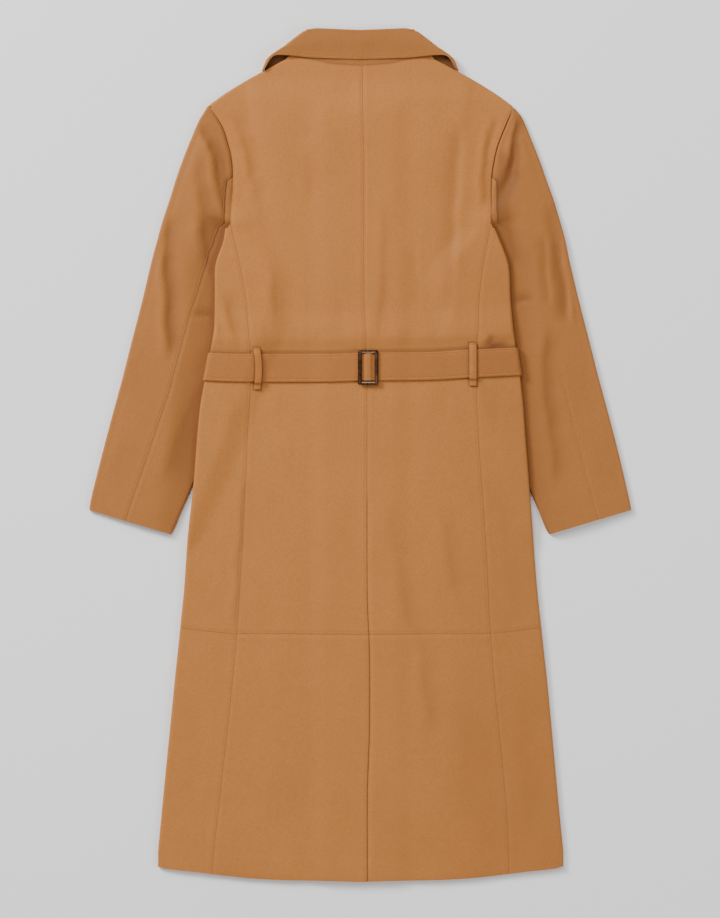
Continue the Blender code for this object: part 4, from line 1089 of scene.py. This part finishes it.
def collar_fall():
    """The leaf with its roll: rows from under the fold to the outer edge."""
    rows = []
    for angle in np.linspace(-60, 90, 9):
        turned = math.radians(angle)
        half = mix(STAND_HALF_HEIGHT, COLLAR_HALF_HEIGHT, 0.5 + 0.5 * math.sin(turned))
        rows.append(leaf_loop(0.0, half, COLLAR_FOLD_REACH * (math.cos(turned) - 1.0)))
    for depth in np.concatenate([np.linspace(0.05, 0.88, 14), [0.915, 0.94, 0.965, 0.985, 1.0]]):
        rim = (1.0 - depth) * LEAF_DEPTH
        dip = float(0.45 * np.exp(-(rim / 1.2) ** 2) + 0.18 * np.exp(-((rim - 2.6) / 0.8) ** 2))
        rows.append(leaf_loop(float(depth), COLLAR_HALF_HEIGHT, 0.0, dip))
    grid = np.array(rows)
    # Painted shade: the leaf is darker all over, and its inner wall much darker low at the sides,
    # where it turns under to the front
    hidden_shade = ramp(COLLAR_HALF_HEIGHT + 3.0, COLLAR_HALF_HEIGHT - 1.0, grid[..., 2])
    hidden_shade = hidden_shade * ramp(90.0, 108.0, np.abs(grid[..., 0]))
    shell("collar_leaf", grid, leather("coat_leather"), "collar_fall", flip=True,
          tucked=COLLAR_PAINTED_SHADE,
          painted_shade_inside=COLLAR_PAINTED_SHADE + (MOST_PAINTED_SHADE - COLLAR_PAINTED_SHADE) * hidden_shade)
    seat, short = -4, 30
    stitch_along("collar", grid[seat, short:-short])


def collar_stand():
    """The strip between the neck seam and the fold."""
    *levels, side_x, side_y, _ = leaf_at(0.0)
    stations = list(zip(COLLAR_STATIONS, levels + [side_y]))
    turn_x = side_x - COLLAR_HALF_HEIGHT + 4.0
    rows = []
    for w in np.linspace(0, 1, 13):
        neck_x = 109.0 * BACK_SHARES
        neck_y = curve(NECK_AND_SHOULDER, neck_x) - 2.2
        clear = mix(STAND_CLEAR, STAND_INSET, ramp(0.55, 0.95, BACK_SHARES))
        fold_y = curve(stations, BACK_SHARES) - COLLAR_FOLD_REACH - clear
        back = np.stack([mix(neck_x, turn_x * BACK_SHARES, w), mix(neck_y, fold_y, w),
                         np.full(len(neck_x), mix(4.8, 8.05, w))], axis=-1)
        fold = along_path(FRONT_FOLD, FRONT_SHARES)
        front_x = mix(102.0, 8.0, FRONT_SHARES)
        x = mix(front_x, fold[0] + STAND_INSET, w)
        y = mix(curve(FRONT_NECK, front_x) + 2.5, fold[1] - 0.7 * STAND_INSET, w)
        rows.append(collar_loop(back, (1.0, 0.0), mix(3.5, 4.55, w), list(zip(x, y))))
    shell("collar_stand_strip", np.array(rows), leather("leather_underside"), "collar_stand",
          flip=True)


# Belt

def belt_top(x, y):
    """Height of the outer face of the belt on the back."""
    crown = 2.3 * ramp(7.5, 2.2, np.abs(x - BUCKLE_X))
    return back_base(x, y) + BELT_CLEAR + sizes().belt_leather / MM + crown


def belt_underside(x, y):
    """Height of the outer face of the belt under the fronts."""
    return front_lift(x, y) - sizes().belt_leather / MM - 0.6


def belt_span(side, level):
    """X of the belt's points on one side, from the buckle to where the side turns."""
    edge = body_edge(side, level)
    foot = edge - side * fold_radius(edge, follow_belt(edge, level))
    return mix(BUCKLE_X + side * 14.0, foot, np.linspace(0, 1, 56))


def belt():
    """One closed strap: across the back, round both sides and under the fronts."""
    half = sizes().belt_width / MM / 2
    near = BUCKLE_X + np.linspace(-12.5, 12.5, 21)
    rows = []
    inside = np.array([0.0, 0.6, 1.4, 2.8, 3.5, 4.2, 6.0])
    middle = np.linspace(half - 9, 9 - half, 7)
    offsets = np.concatenate([half - inside, middle, inside[::-1] - half])
    for offset in offsets:
        left, right = (belt_span(side, BELT_LEVEL_Y + offset) for side in (-1, 1))
        across = np.concatenate([left[::-1], near, right])
        rim = half - abs(offset)
        dip = (0.5 * math.exp(-(rim / 0.9) ** 2) + 0.34 * math.exp(-((rim - 3.5) / 0.8) ** 2)
               - 0.15 * math.exp(-((rim - 1.9) / 0.8) ** 2))
        y = belt_y(across) + offset
        row = [stack(across, y, belt_top(across, y) - dip)]
        row.append(belt_turn(1, right[-1], offset, dip))
        under = np.concatenate([right[::-4], near[::-4], left[::4]])
        y = belt_y(under) + offset
        row.append(stack(under, y, belt_underside(under, y)))
        row.append(belt_turn(-1, left[-1], offset, dip)[::-1])
        rows.append(np.concatenate(row))
    grid = np.array(rows)
    # Painted shade of the belt, darker towards its right end
    turning = 0.3 + 0.45 * ramp(60.0, 235.0, grid[..., 0])
    shell("belt_strap", grid, leather("belt_leather"), "belt", closed=True, flip=True,
          tucked=turning, thick=sizes().belt_leather / MM)
    seat = list(inside).index(3.5)
    stitch_along("belt_top_row", grid[seat, :len(across)])
    stitch_along("belt_foot_row", grid[-1 - seat, :len(across)])


def belt_turn(side, x, offset, dip):
    """Points of one row round the side of the coat, from the back to the front."""
    y = belt_y(x) + offset
    low, high = belt_underside(x, y), belt_top(x, y) - dip
    radius = (high - low) / 2
    ring = []
    for angle in np.linspace(90, -90, 11)[1:-1]:
        turned = math.radians(angle)
        ring.append((x + side * radius * math.cos(turned) * 0.97, y,
                     low + radius + radius * math.sin(turned)))
    return np.array(ring)


def belt_loop(name, x_top, x_middle, x_foot, width, y_top, y_foot):
    """A narrow strap over the belt, with both ends down on the back."""
    centre = float(belt_y(x_middle))
    half = sizes().belt_width / MM / 2
    rise = BELT_CLEAR + sizes().belt_leather / MM + 0.4 + LOOP_LEATHER
    heights = [
        (y_foot, 2.0), (centre - half - 4.5, 2.4), (centre - half - 1.0, rise),
        (centre, rise + 0.3), (centre + half + 1.0, rise), (centre + half + 4.5, 2.4),
        (y_top, 2.0),
    ]
    y = np.concatenate([
        np.linspace(y_top, centre + half + 5, 6), np.linspace(centre + half + 4, centre + half, 6),
        np.linspace(centre + half - 2, centre - half + 2, 12),
        np.linspace(centre - half, centre - half - 4, 6),
        np.linspace(centre - half - 5, y_foot, 6)])[:, None]
    across = np.array([0.0, 0.06, 0.13, 0.2, 0.28, 0.4, 0.5, 0.6, 0.72, 0.8, 0.87, 0.94, 1.0])
    x_line = curve([(y_foot, x_foot), (centre, x_middle), (y_top, x_top)], y)
    x = x_line + width * (across[None, :] - 0.5)
    base = np.maximum(back_height(x, y), back_base(x_line, y))
    above = np.array([float(curve(heights, float(v))) for v in y[:, 0]])[:, None]
    rim = width * (0.5 - np.abs(across - 0.5))
    dip = 0.12 * np.exp(-((rim - 2.2) / 0.5) ** 2)
    crown = 1.1 * (1.0 - (2.0 * np.abs(across - 0.5)) ** 2.2)
    grid = stack(x, y, base + above + crown - dip)
    shell(name + "_strap", grid, leather("belt_leather"), name, flip=True,
          thick=LOOP_LEATHER)


# Buckle

def rounded_outline(half_w, half_h, corner, steps=12):
    """Points round a rectangle with round corners, anticlockwise from the right side."""
    points = []
    corners = [(1, 1, 0), (-1, 1, 90), (-1, -1, 180), (1, -1, 270)]
    for sx, sy, first in corners:
        for n in range(steps + 1):
            turned = math.radians(first + 90 * n / steps)
            points.append((sx * (half_w - corner) + corner * math.cos(turned),
                           sy * (half_h - corner) + corner * math.sin(turned)))
    return np.array(points)


def add_box(shape, size, centre):
    """Adds a box, given in millimetres."""
    corners = bmesh.ops.create_cube(shape, size=1.0)["verts"]
    bmesh.ops.scale(shape, verts=corners, vec=[extent * MM for extent in size])
    bmesh.ops.translate(shape, verts=corners, vec=[place * MM for place in centre])


def buckle():
    """A plain slide frame with softly rounded bars, and the bar that the belt passes over."""
    part = sizes()
    base = float(back_base(BUCKLE_X, BUCKLE_Y))
    low = base + BELT_CLEAR + part.belt_leather / MM + 0.5
    half_w, half_h = part.buckle_width / MM / 2, part.buckle_height / MM / 2
    outer = rounded_outline(half_w, half_h, 2.0)
    inner = rounded_outline(half_w - 5.7, half_h - 4.3, 0.9)
    grid = []
    for angle in np.linspace(0, 360, 29)[:-1]:
        turned = math.radians(angle)
        across = 0.5 + 0.5 * math.copysign(abs(math.cos(turned)) ** 0.85, math.cos(turned))
        up = 0.5 + 0.5 * math.copysign(abs(math.sin(turned)) ** 0.9, math.sin(turned))
        place = mix(inner, outer, across)
        grid.append(stack(BUCKLE_X + place[:, 0], BUCKLE_Y + place[:, 1], low + 3.0 * up))
    grid = np.array(grid)
    # How high each point lies on its bar, doubled on the top and bottom bars; the horn's finish
    # paints light and a highlight from it
    crown = np.clip((grid[..., 2] - low - 1.2) / 1.8, 0.0, 1.0)
    on_bar = ramp(half_w - 4.5, half_w - 6.5, np.abs(grid[..., 0] - BUCKLE_X))
    crown = (crown * (1.0 + on_bar)).ravel()
    rows, columns = grid.shape[:2]
    shape = bmesh.new()
    verts = [[shape.verts.new(grid[i, j] * MM) for j in range(columns)] for i in range(rows)]
    for i in range(rows):
        for j in range(columns):
            k, m = (i + 1) % rows, (j + 1) % columns
            shape.faces.new([verts[i][j], verts[i][m], verts[k][m], verts[k][j]])
    # The bar under the belt, and a post at each of its ends up to the frame
    add_box(shape, (5.0, 2 * half_h - 4.0, 1.8), (BUCKLE_X, BUCKLE_Y, base + 0.4 + 0.9))
    for end in (-1, 1):
        add_box(shape, (2 * half_w - 7.0, 3.2, 4.4),
                (BUCKLE_X, BUCKLE_Y + end * (half_h - 2.2), base + 0.4 + 2.2))
    bmesh.ops.recalc_face_normals(shape, faces=shape.faces)
    mesh = bpy.data.meshes.new("buckle")
    shape.to_mesh(mesh)
    shape.free()
    mark(mesh, "crown", np.concatenate([crown, np.zeros(len(mesh.vertices) - len(crown))]))
    piece = as_plain(placed("buckle_raw", mesh), "slide_buckle")
    give_finish(piece, horn())
    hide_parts("buckle_frame")
    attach(piece, "root")


# Topstitching

def stitch_tree():
    """Stitches of one length set along every line, then made into real thread."""
    tree = bpy.data.node_groups.new("Topstitching", "GeometryNodeTree")
    face = tree.interface
    face.new_socket("Lines", in_out="INPUT", socket_type="NodeSocketGeometry")
    for name, default in (("Pitch", 0.0036), ("Length", 0.0027), ("Thickness", 0.00055)):
        socket = face.new_socket(name, in_out="INPUT", socket_type="NodeSocketFloat")
        socket.default_value = default
    face.new_socket("Thread", in_out="INPUT", socket_type="NodeSocketMaterial")
    face.new_socket("Stitches", in_out="OUTPUT", socket_type="NodeSocketGeometry")

    def add(kind, settings=None, values=None):
        node = tree.nodes.new(kind)
        for key, value in (settings or {}).items():
            setattr(node, key, value)
        for key, value in (values or {}).items():
            if isinstance(value, bpy.types.NodeSocket):
                tree.links.new(value, node.inputs[key])
            else:
                node.inputs[key].default_value = value
        return node

    given = add("NodeGroupInput").outputs
    lines = add("GeometryNodeMeshToCurve", values={"Mesh": given["Lines"]}).outputs["Curve"]
    even = add("GeometryNodeResampleCurve", {"mode": "LENGTH"},
               {"Curve": lines, "Length": given["Pitch"]}).outputs["Curve"]
    tangent = add("GeometryNodeInputTangent").outputs["Tangent"]
    turn = add("FunctionNodeAlignRotationToVector", {"axis": "Z"}, {"Vector": tangent})
    ball = add("GeometryNodeMeshUVSphere", values={"Segments": 6, "Rings": 4, "Radius": 0.5})
    size = add("ShaderNodeCombineXYZ", values={
        "X": given["Thickness"], "Y": given["Thickness"], "Z": given["Length"]})
    laid = add("GeometryNodeInstanceOnPoints", values={
        "Points": even, "Instance": ball.outputs["Mesh"],
        "Rotation": turn.outputs["Rotation"], "Scale": size.outputs[0]})
    real = add("GeometryNodeRealizeInstances", values={"Geometry": laid.outputs["Instances"]})
    smooth = add("GeometryNodeSetShadeSmooth", values={"Geometry": real.outputs["Geometry"]})
    coloured = add("GeometryNodeSetMaterial", values={
        "Geometry": smooth.outputs["Geometry"], "Material": given["Thread"]})
    add("NodeGroupOutput", values={"Stitches": coloured.outputs["Geometry"]})
    return tree


def topstitching():
    """All the stitches as one piece, which rides along with the coat."""
    points, edges = [], []
    for line in stitch_lines.values():
        first = len(points)
        points += (line * MM).tolist()
        edges += [(first + n, first + n + 1) for n in range(len(line) - 1)]
    mesh = bpy.data.meshes.new("stitch_lines")
    mesh.from_pydata(points, edges, [])
    body = placed("stitch_lines", mesh)
    laid = body.modifiers.new("Topstitching", "NODES")
    laid.node_group = stitch_tree()
    values = {"Pitch": sizes().stitch_pitch, "Length": sizes().stitch_pitch * 0.76,
              "Thickness": sizes().thread, "Thread": thread_finish()}
    for item in laid.node_group.interface.items_tree:
        if item.item_type == "SOCKET" and item.name in values:
            laid[item.identifier] = values[item.name]
    piece = as_plain(body, "topstitching")
    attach(piece, "root")


# Materials

class Socket:
    """A shader value that Python's own operators work on."""

    def __init__(self, paint, socket):
        self.paint = paint
        self.socket = socket

    def math(self, operation, first, second):
        return self.paint.node("ShaderNodeMath", {"operation": operation},
                               {0: first, 1: second})["Value"]

    def __add__(self, other):
        return self.math("ADD", self, other)

    __radd__ = __add__

    def __sub__(self, other):
        return self.math("SUBTRACT", self, other)

    def __rsub__(self, other):
        return self.math("SUBTRACT", other, self)

    def __mul__(self, other):
        return self.math("MULTIPLY", self, other)

    __rmul__ = __mul__

    def __truediv__(self, other):
        return self.math("DIVIDE", self, other)

    def size(self):
        return self.math("ABSOLUTE", self, 0.0)


class Paint:
    """A material that is made node by node."""

    def __init__(self, name, slot):
        self.material = bpy.data.materials.new(name)
        self.material.use_nodes = True
        self.material["slot"] = slot
        self.tree = self.material.node_tree
        self.shader = self.tree.nodes["Principled BSDF"]

    def node(self, kind, settings=None, values=None):
        """Any node, from its settings and the values or links of its sockets.

        A socket goes by its name or place, or by its identifier where names are shared.
        """
        made = self.tree.nodes.new(kind)
        for key, value in (settings or {}).items():
            setattr(made, key, value)
        named = {socket.identifier: socket for socket in made.inputs}
        for key, value in (values or {}).items():
            self.give(named[key] if key in named else made.inputs[key], value)
        return {out.name: Socket(self, out) for out in made.outputs if out.enabled}

    def give(self, target, value):
        """Links or sets a socket; a colour of three values gets its fourth."""
        if isinstance(value, Socket):
            self.tree.links.new(value.socket, target)
        elif isinstance(value, tuple) and len(value) == 3 and target.type == "RGBA":
            target.default_value = (*value, 1.0)
        else:
            target.default_value = value

    def set(self, **values):
        """Gives the shader its values, by the names of its sockets."""
        for name, value in values.items():
            self.give(self.shader.inputs[name.replace("_", " ")], value)

    def noise(self, place, scale, detail=2.0, roughness=0.5, distortion=0.0):
        return self.node("ShaderNodeTexNoise", values={
            "Vector": place, "Scale": scale, "Detail": detail, "Roughness": roughness,
            "Distortion": distortion})["Fac"]

    def blend(self, factor, a, b):
        """The colour a, going over to the colour b as the factor goes from 0 to 1."""
        return self.node("ShaderNodeMix", {"data_type": "RGBA"}, {
            "Factor_Float": factor, "A_Color": a, "B_Color": b})["Result"]

    def steps(self, value, low, high):
        """Soft step of a value from 0 at low to 1 at high."""
        return self.node("ShaderNodeMapRange", {"interpolation_type": "SMOOTHSTEP"}, {
            "Value": value, "From Min": low, "From Max": high})["Result"]


def object_place(paint, stretch=(1.0, 1.0, 1.0)):
    """Object coordinates, scaled so that a pattern is drawn out where the scale is small."""
    place = paint.node("ShaderNodeTexCoord")["Object"]
    return paint.node("ShaderNodeMapping", values={"Vector": place, "Scale": stretch})["Vector"]


def shade(colour, factor):
    """A darker or a lighter tone of a colour."""
    return tuple(min(1.0, channel * factor) for channel in colour)


def beside_loops(paint):
    """A soft line of shade round both belt loops."""
    place = paint.node("ShaderNodeSeparateXYZ", values={"Vector": object_place(paint)})
    line = 0.0
    for _, x_top, x_middle, x_foot, width, y_top, y_foot in BELT_LOOPS:
        along = (place["Y"] - (y_top + y_foot) / 2 * MM) / ((y_top - y_foot) / 2 * MM)
        bend = ((x_top + x_foot) / 2 - x_middle) * MM
        across = (place["X"] - x_middle * MM - along * along * bend).size() - width / 2 * MM
        past_end = (along.size() - 1.0) * ((y_top - y_foot) / 2 * MM)
        away = across.math("MAXIMUM", across, past_end)
        line = paint.steps(away, -0.0007, 0.0001) * (1.0 - paint.steps(away, 0.0004, 0.0024)) + line
    return line * paint.steps(place["Z"], 6.0 * MM, 8.0 * MM)


def leather(slot):
    """Soft grained leather, with painted shade in its hollows, creases and round the belt loops;
    the belt's is smoother, and the stand's darker, as painted shade under the collar's leaf.
    """
    made = bpy.data.materials.get(slot + "_finish")
    if made:
        return made
    colours = bpy.context.scene.coat_colours
    colour = tuple({"coat_leather": colours.leather, "belt_leather": colours.belt,
                    "leather_underside": colours.shaded_underside}[slot])
    paint = Paint(slot + "_finish", slot)
    place = object_place(paint)
    cloud = paint.noise(place, 9.0, 3.0, 0.55)
    patches = paint.noise(place, 46.0, 3.0, 0.6)
    pebbles = paint.noise(place, 330.0, 2.0, 0.6)
    specks = paint.noise(place, 620.0, 2.0, 0.7)
    tone = paint.steps(cloud, 0.3, 0.7)
    base = paint.blend(tone, shade(colour, 0.975), shade(colour, 1.025))
    base = paint.blend(paint.steps(patches, 0.4, 0.7) * 0.22, base, shade(colour, 0.86))
    base = paint.blend(paint.steps(pebbles, 0.35, 0.7) * 0.45, base, shade(colour, 0.8))
    base = paint.blend(paint.steps(specks, 0.45, 0.75) * 0.4, base, shade(colour, 1.25))
    if slot != "leather_underside":
        # Painted shade: the deep tone that hollows, creases and the rims of the belt loops go
        # towards
        deep = (colour[0] * 0.48, colour[1] * 0.44, colour[2] * 0.40)
        tucked = paint.node("ShaderNodeAttribute", {"attribute_name": "tucked"})["Fac"]
        base = paint.blend(tucked * 0.45, base, deep)
        base = paint.blend(paint.steps(tucked, 2.2, 3.0) * 0.8, base, shade(deep, 0.6))
        base = paint.blend(beside_loops(paint) * 0.8, base, deep)
    if slot == "coat_leather":
        # Sewn edges darken as dark joints, and more with painted shade where the hollows are deep
        edge = paint.node("ShaderNodeAttribute", {"attribute_name": "edge_distance"})["Fac"]
        seam = 1.0 - paint.steps(edge, 0.1, 1.5)
        base = paint.blend(seam * 0.35, base, shade(colour, 0.58))
        base = paint.blend(seam * (tucked - 0.4) * 0.5, base, shade(deep, 0.6))
    grain = paint.node("ShaderNodeTexVoronoi", {"feature": "SMOOTH_F1"}, {
        "Vector": place, "Scale": 640.0, "Smoothness": 0.6})["Distance"]
    pores = paint.noise(place, 1100.0, 2.0, 0.6)
    creases = paint.noise(object_place(paint, (1.0, 0.55, 1.0)), 70.0, 4.0, 0.62, 0.4)
    waves = paint.noise(object_place(paint, (1.0, 0.5, 1.0)), 22.0, 3.0, 0.5)
    strength = sizes().grain
    height = grain * (0.10 * strength) + pores * (0.05 * strength)
    height = height + creases * 0.5 + waves * 0.65
    bump = paint.node("ShaderNodeBump", values={
        "Strength": 1.0, "Distance": 0.001, "Height": height})["Normal"]
    rough = 0.56 + 0.1 * cloud + 0.1 * patches
    if slot == "belt_leather":
        rough = rough - 0.06
    paint.set(Base_Color=base, Roughness=rough, Normal=bump, Metallic=0.0,
              Specular_IOR_Level=0.26)
    return paint.material


def horn():
    """Polished dark horn with lighter streaks, which show only on the bars' crowns as painted
    light, and a painted highlight along the crowns of the top and bottom bars.
    """
    colours = bpy.context.scene.coat_colours
    paint = Paint("dark_horn_finish", "dark_horn")
    place = object_place(paint, (1.0, 0.45, 1.0))
    streaks = paint.noise(place, 130.0, 3.0, 0.6, 1.2)
    crown = paint.node("ShaderNodeAttribute", {"attribute_name": "crown"})["Fac"]
    # Streaks of the horn, lighter only on the bars' crowns as painted light
    light = paint.steps(streaks, 0.3, 0.7) * paint.steps(crown, 0.8, 1.0)
    base = paint.blend(light, tuple(colours.horn), tuple(colours.horn_lit_streaks))
    # Painted highlight along the crowns of the top and bottom bars
    painted_highlight = paint.steps(crown, 1.1, 1.6) * (paint.steps(streaks, 0.4, 0.52) * 0.65 + 0.35)
    base = paint.blend(painted_highlight, base, tuple(colours.horn_highlight))
    paint.set(Base_Color=base, Roughness=0.2, Metallic=0.0, Coat_Weight=0.1,
              Coat_Roughness=0.08, Specular_IOR_Level=0.14)
    return paint.material


def thread_finish():
    """Waxed thread, a shade lighter than the leather."""
    colour = tuple(bpy.context.scene.coat_colours.thread)
    paint = Paint("thread_finish", "coat_leather")
    fibres = paint.noise(object_place(paint), 2500.0)
    base = paint.blend(paint.steps(fibres, 0.3, 0.7), colour, shade(colour, 1.2))
    paint.set(Base_Color=base, Roughness=0.6)
    return paint.material


def floor_finish():
    """Matt, nearly white, with hardly any clouding."""
    paint = Paint("floor_finish", "")
    cloud = paint.noise(object_place(paint), 1.5, 2.0)
    base = paint.blend(cloud, (0.93, 0.93, 0.93), (0.96, 0.96, 0.955))
    paint.set(Base_Color=base, Roughness=0.9)
    return paint.material


# Stage

def floor():
    """A square of floor, wide enough to fill the view from low down."""
    half = bpy.context.scene.coat_stage.floor / 2
    mesh = bpy.data.meshes.new("floor")
    corners = [(x * half, y * half, FLOOR_Z) for x, y in ((-1, -1), (1, -1), (1, 1), (-1, 1))]
    mesh.from_pydata(corners, [], [(0, 1, 2, 3)])
    mesh.materials.append(floor_finish())
    placed("floor", mesh)


def soft_light(name, place, size, power):
    """A round, white area light that points at the middle of the coat."""
    light = bpy.data.lights.new(name, "AREA")
    light.shape = "DISK"
    light.size = size
    light.energy = power
    lamp = placed(name, light)
    lamp.location = place
    back = lamp.location.normalized()
    lamp.rotation_mode = "QUATERNION"
    lamp.rotation_quaternion = back.to_track_quat("Z", "Y")


def lights():
    """Three soft lights, the strongest from the upper left, and an even white sky."""
    stage = bpy.context.scene.coat_stage
    soft_light("key_light", (-4.1, 3.4, 2.9), 2.0, stage.key)
    soft_light("fill_light", (4.4, -1.6, 3.1), 3.0, stage.fill)
    soft_light("top_light", (-1.6, 3.0, 4.6), 3.0, stage.top)
    world = bpy.data.worlds.new("studio")
    world.use_nodes = True
    sky = world.node_tree.nodes["Background"]
    sky.inputs["Color"].default_value = (1.0, 1.0, 1.0, 1.0)
    sky.inputs["Strength"].default_value = stage.sky
    bpy.context.scene.world = world


def camera():
    """Looks straight down on the coat, with a long lens."""
    stage = bpy.context.scene.coat_stage
    eye = bpy.data.cameras.new("camera")
    eye.sensor_width = 36.0
    eye.lens = eye.sensor_width * stage.camera_height / stage.view_height
    eye.clip_end = 100.0
    holder = placed("camera", eye)
    holder.location = (*VIEW_CENTRE, stage.camera_height)
    bpy.context.scene.camera = holder


# Settings

def length(name, words, value, high=10.0):
    """A length in metres that a user may change."""
    return FloatProperty(name=name, description=words, default=value, min=0.0, max=high,
                         unit="LENGTH", subtype="DISTANCE", precision=4)


def tint(name, words, value):
    """A colour that a user may change."""
    return FloatVectorProperty(name=name, description=words, default=value, size=3, min=0.0,
                               max=1.0, subtype="COLOR")


class CoatSizes(bpy.types.PropertyGroup):
    leather: length("Leather", "Thickness of the coat's leather", 0.0015)
    belt_leather: length("Belt leather", "Thickness of the belt", 0.0026)
    belt_width: length("Belt width", "Width of the belt", 0.041)
    seam_gap: length("Seam gap", "Gap between neighbouring pieces", 0.00006)
    loft: length("Loft", "Air between the front and the back", 0.0032)
    sleeve_loft: length("Sleeve loft", "Height of the sleeves at their folds", 0.0066)
    sleeve_puff: length("Sleeve puff", "How far the sleeves swell in between", 0.0032)
    back_puff: length("Back puff", "How far the back swells between its seams", 0.0026)
    buckle_width: length("Buckle width", "Width of the buckle", 0.030)
    buckle_height: length("Buckle height", "Height of the buckle", 0.051)
    stitch_setback: length("Stitch setback", "From a seam to its topstitching", 0.0026)
    stitch_pitch: length("Stitch pitch", "From one stitch to the next", 0.0036)
    thread: length("Thread", "Thickness of the thread", 0.00055)
    crease_depth: FloatProperty(name="Crease depth", default=1.4, min=0.0, max=1.6,
                                description="How deep the creases are, of their given depth")
    grain: FloatProperty(name="Grain", default=1.0, min=0.0, max=3.0,
                         description="How strong the leather's grain is")


class CoatColours(bpy.types.PropertyGroup):
    leather: tint("Leather", "Colour of the coat", (0.428, 0.158, 0.033))
    belt: tint("Belt", "Colour of the belt", (0.388, 0.136, 0.027))
    # The stand's colour: the coat's leather darkened as painted shade under the collar's leaf
    shaded_underside: tint("Underside", "Colour of the collar stand", (0.330, 0.120, 0.026))
    thread: tint("Thread", "Colour of the topstitching", (0.50, 0.20, 0.045))
    horn: tint("Horn", "Dark colour of the buckle", (0.020, 0.007, 0.003))
    # Lighter streaks of the horn, shown only on the bars' crowns as painted light
    horn_lit_streaks: tint("Horn streaks", "Lighter streaks of the buckle", (0.130, 0.056, 0.026))
    # Painted highlight on the crowns of the buckle's top and bottom bars
    horn_highlight: tint("Worn horn", "Polished tops of the buckle's bars", (0.62, 0.42, 0.32))


class CoatStage(bpy.types.PropertyGroup):
    floor: length("Floor", "Length of the floor's sides", 40.0, high=100.0)
    camera_height: length("Camera height", "Height of the camera over the floor", 6.0, high=20.0)
    view_height: length("View height", "Length that the view takes in on the floor", 1.3531)
    key: FloatProperty(name="Key light", description="Power of the key light", default=430.0,
                       unit="POWER")
    fill: FloatProperty(name="Fill light", description="Power of the fill light", default=120.0,
                        unit="POWER")
    top: FloatProperty(name="Top light", description="Power of the top light", default=130.0,
                       unit="POWER")
    sky: FloatProperty(name="Sky", description="Strength of the light all round", default=0.42)


# Operators

SIDES = ((-1, "left"), (1, "right"))


class COAT_OT_back(bpy.types.Operator):
    """Makes the back panels, above and below the seam across the skirt"""
    bl_idname = "coat.back"
    bl_label = "Back panels"

    def execute(self, context):
        for side, word in SIDES:
            back_upper(side, word)
            back_lower(side, word)
        return {"FINISHED"}


class COAT_OT_sides(bpy.types.Operator):
    """Makes the side panels, which turn round the sides of the coat"""
    bl_idname = "coat.sides"
    bl_label = "Side panels"

    def execute(self, context):
        for side, word in SIDES:
            side_upper(side, word)
            side_lower(side, word)
        return {"FINISHED"}


class COAT_OT_fronts(bpy.types.Operator):
    """Makes the two fronts, one lapped over the other"""
    bl_idname = "coat.fronts"
    bl_label = "Fronts"

    def execute(self, context):
        for side, word in SIDES:
            front(side, word)
        return {"FINISHED"}


class COAT_OT_sleeves(bpy.types.Operator):
    """Makes the two-piece sleeves"""
    bl_idname = "coat.sleeves"
    bl_label = "Sleeves"

    def execute(self, context):
        for side, word in SIDES:
            sleeve_outer(side, word)
            sleeve_under(side, word)
        return {"FINISHED"}


class COAT_OT_collar(bpy.types.Operator):
    """Makes the collar's leaf and its stand"""
    bl_idname = "coat.collar"
    bl_label = "Collar"

    def execute(self, context):
        collar_fall()
        collar_stand()
        return {"FINISHED"}


class COAT_OT_belt(bpy.types.Operator):
    """Makes the belt and the loops that hold it"""
    bl_idname = "coat.belt"
    bl_label = "Belt and loops"

    def execute(self, context):
        belt()
        for row in BELT_LOOPS:
            belt_loop(*row)
        return {"FINISHED"}


class COAT_OT_buckle(bpy.types.Operator):
    """Makes the slide buckle"""
    bl_idname = "coat.buckle"
    bl_label = "Buckle"

    def execute(self, context):
        buckle()
        return {"FINISHED"}


class COAT_OT_topstitching(bpy.types.Operator):
    """Makes the topstitching along the seams, collar and belt"""
    bl_idname = "coat.topstitching"
    bl_label = "Topstitching"

    def execute(self, context):
        topstitching()
        return {"FINISHED"}


class COAT_OT_stage(bpy.types.Operator):
    """Makes the floor, the lights and the camera"""
    bl_idname = "coat.stage"
    bl_label = "Stage"

    def execute(self, context):
        floor()
        lights()
        camera()
        return {"FINISHED"}


class COAT_PT_panel(bpy.types.Panel):
    """Lists the coat's sizes, colours and pieces"""
    bl_idname = "COAT_PT_panel"
    bl_label = "Laid coat"
    bl_space_type = "VIEW_3D"
    bl_region_type = "UI"
    bl_category = "Coat"

    def draw(self, context):
        scene = context.scene
        for group in (scene.coat_sizes, scene.coat_colours, scene.coat_stage):
            box = self.layout.box()
            for name in group.__annotations__:
                box.prop(group, name)
        for operator in OPERATORS:
            self.layout.operator(operator.bl_idname)


GROUPS = {"coat_sizes": CoatSizes, "coat_colours": CoatColours, "coat_stage": CoatStage}
OPERATORS = (COAT_OT_back, COAT_OT_sides, COAT_OT_fronts, COAT_OT_sleeves, COAT_OT_collar,
             COAT_OT_belt, COAT_OT_buckle, COAT_OT_topstitching, COAT_OT_stage)


def register():
    for made in (*GROUPS.values(), *OPERATORS, COAT_PT_panel):
        bpy.utils.register_class(made)
    for name, group in GROUPS.items():
        setattr(bpy.types.Scene, name, PointerProperty(type=group))


def unregister():
    for name in GROUPS:
        delattr(bpy.types.Scene, name)
    for made in (COAT_PT_panel, *reversed(OPERATORS), *reversed(list(GROUPS.values()))):
        bpy.utils.unregister_class(made)


def main():
    """Makes the whole scene."""
    register()
    for operator in OPERATORS:
        getattr(bpy.ops.coat, operator.bl_idname.split(".")[1])()


if __name__ == "__main__":
    main()
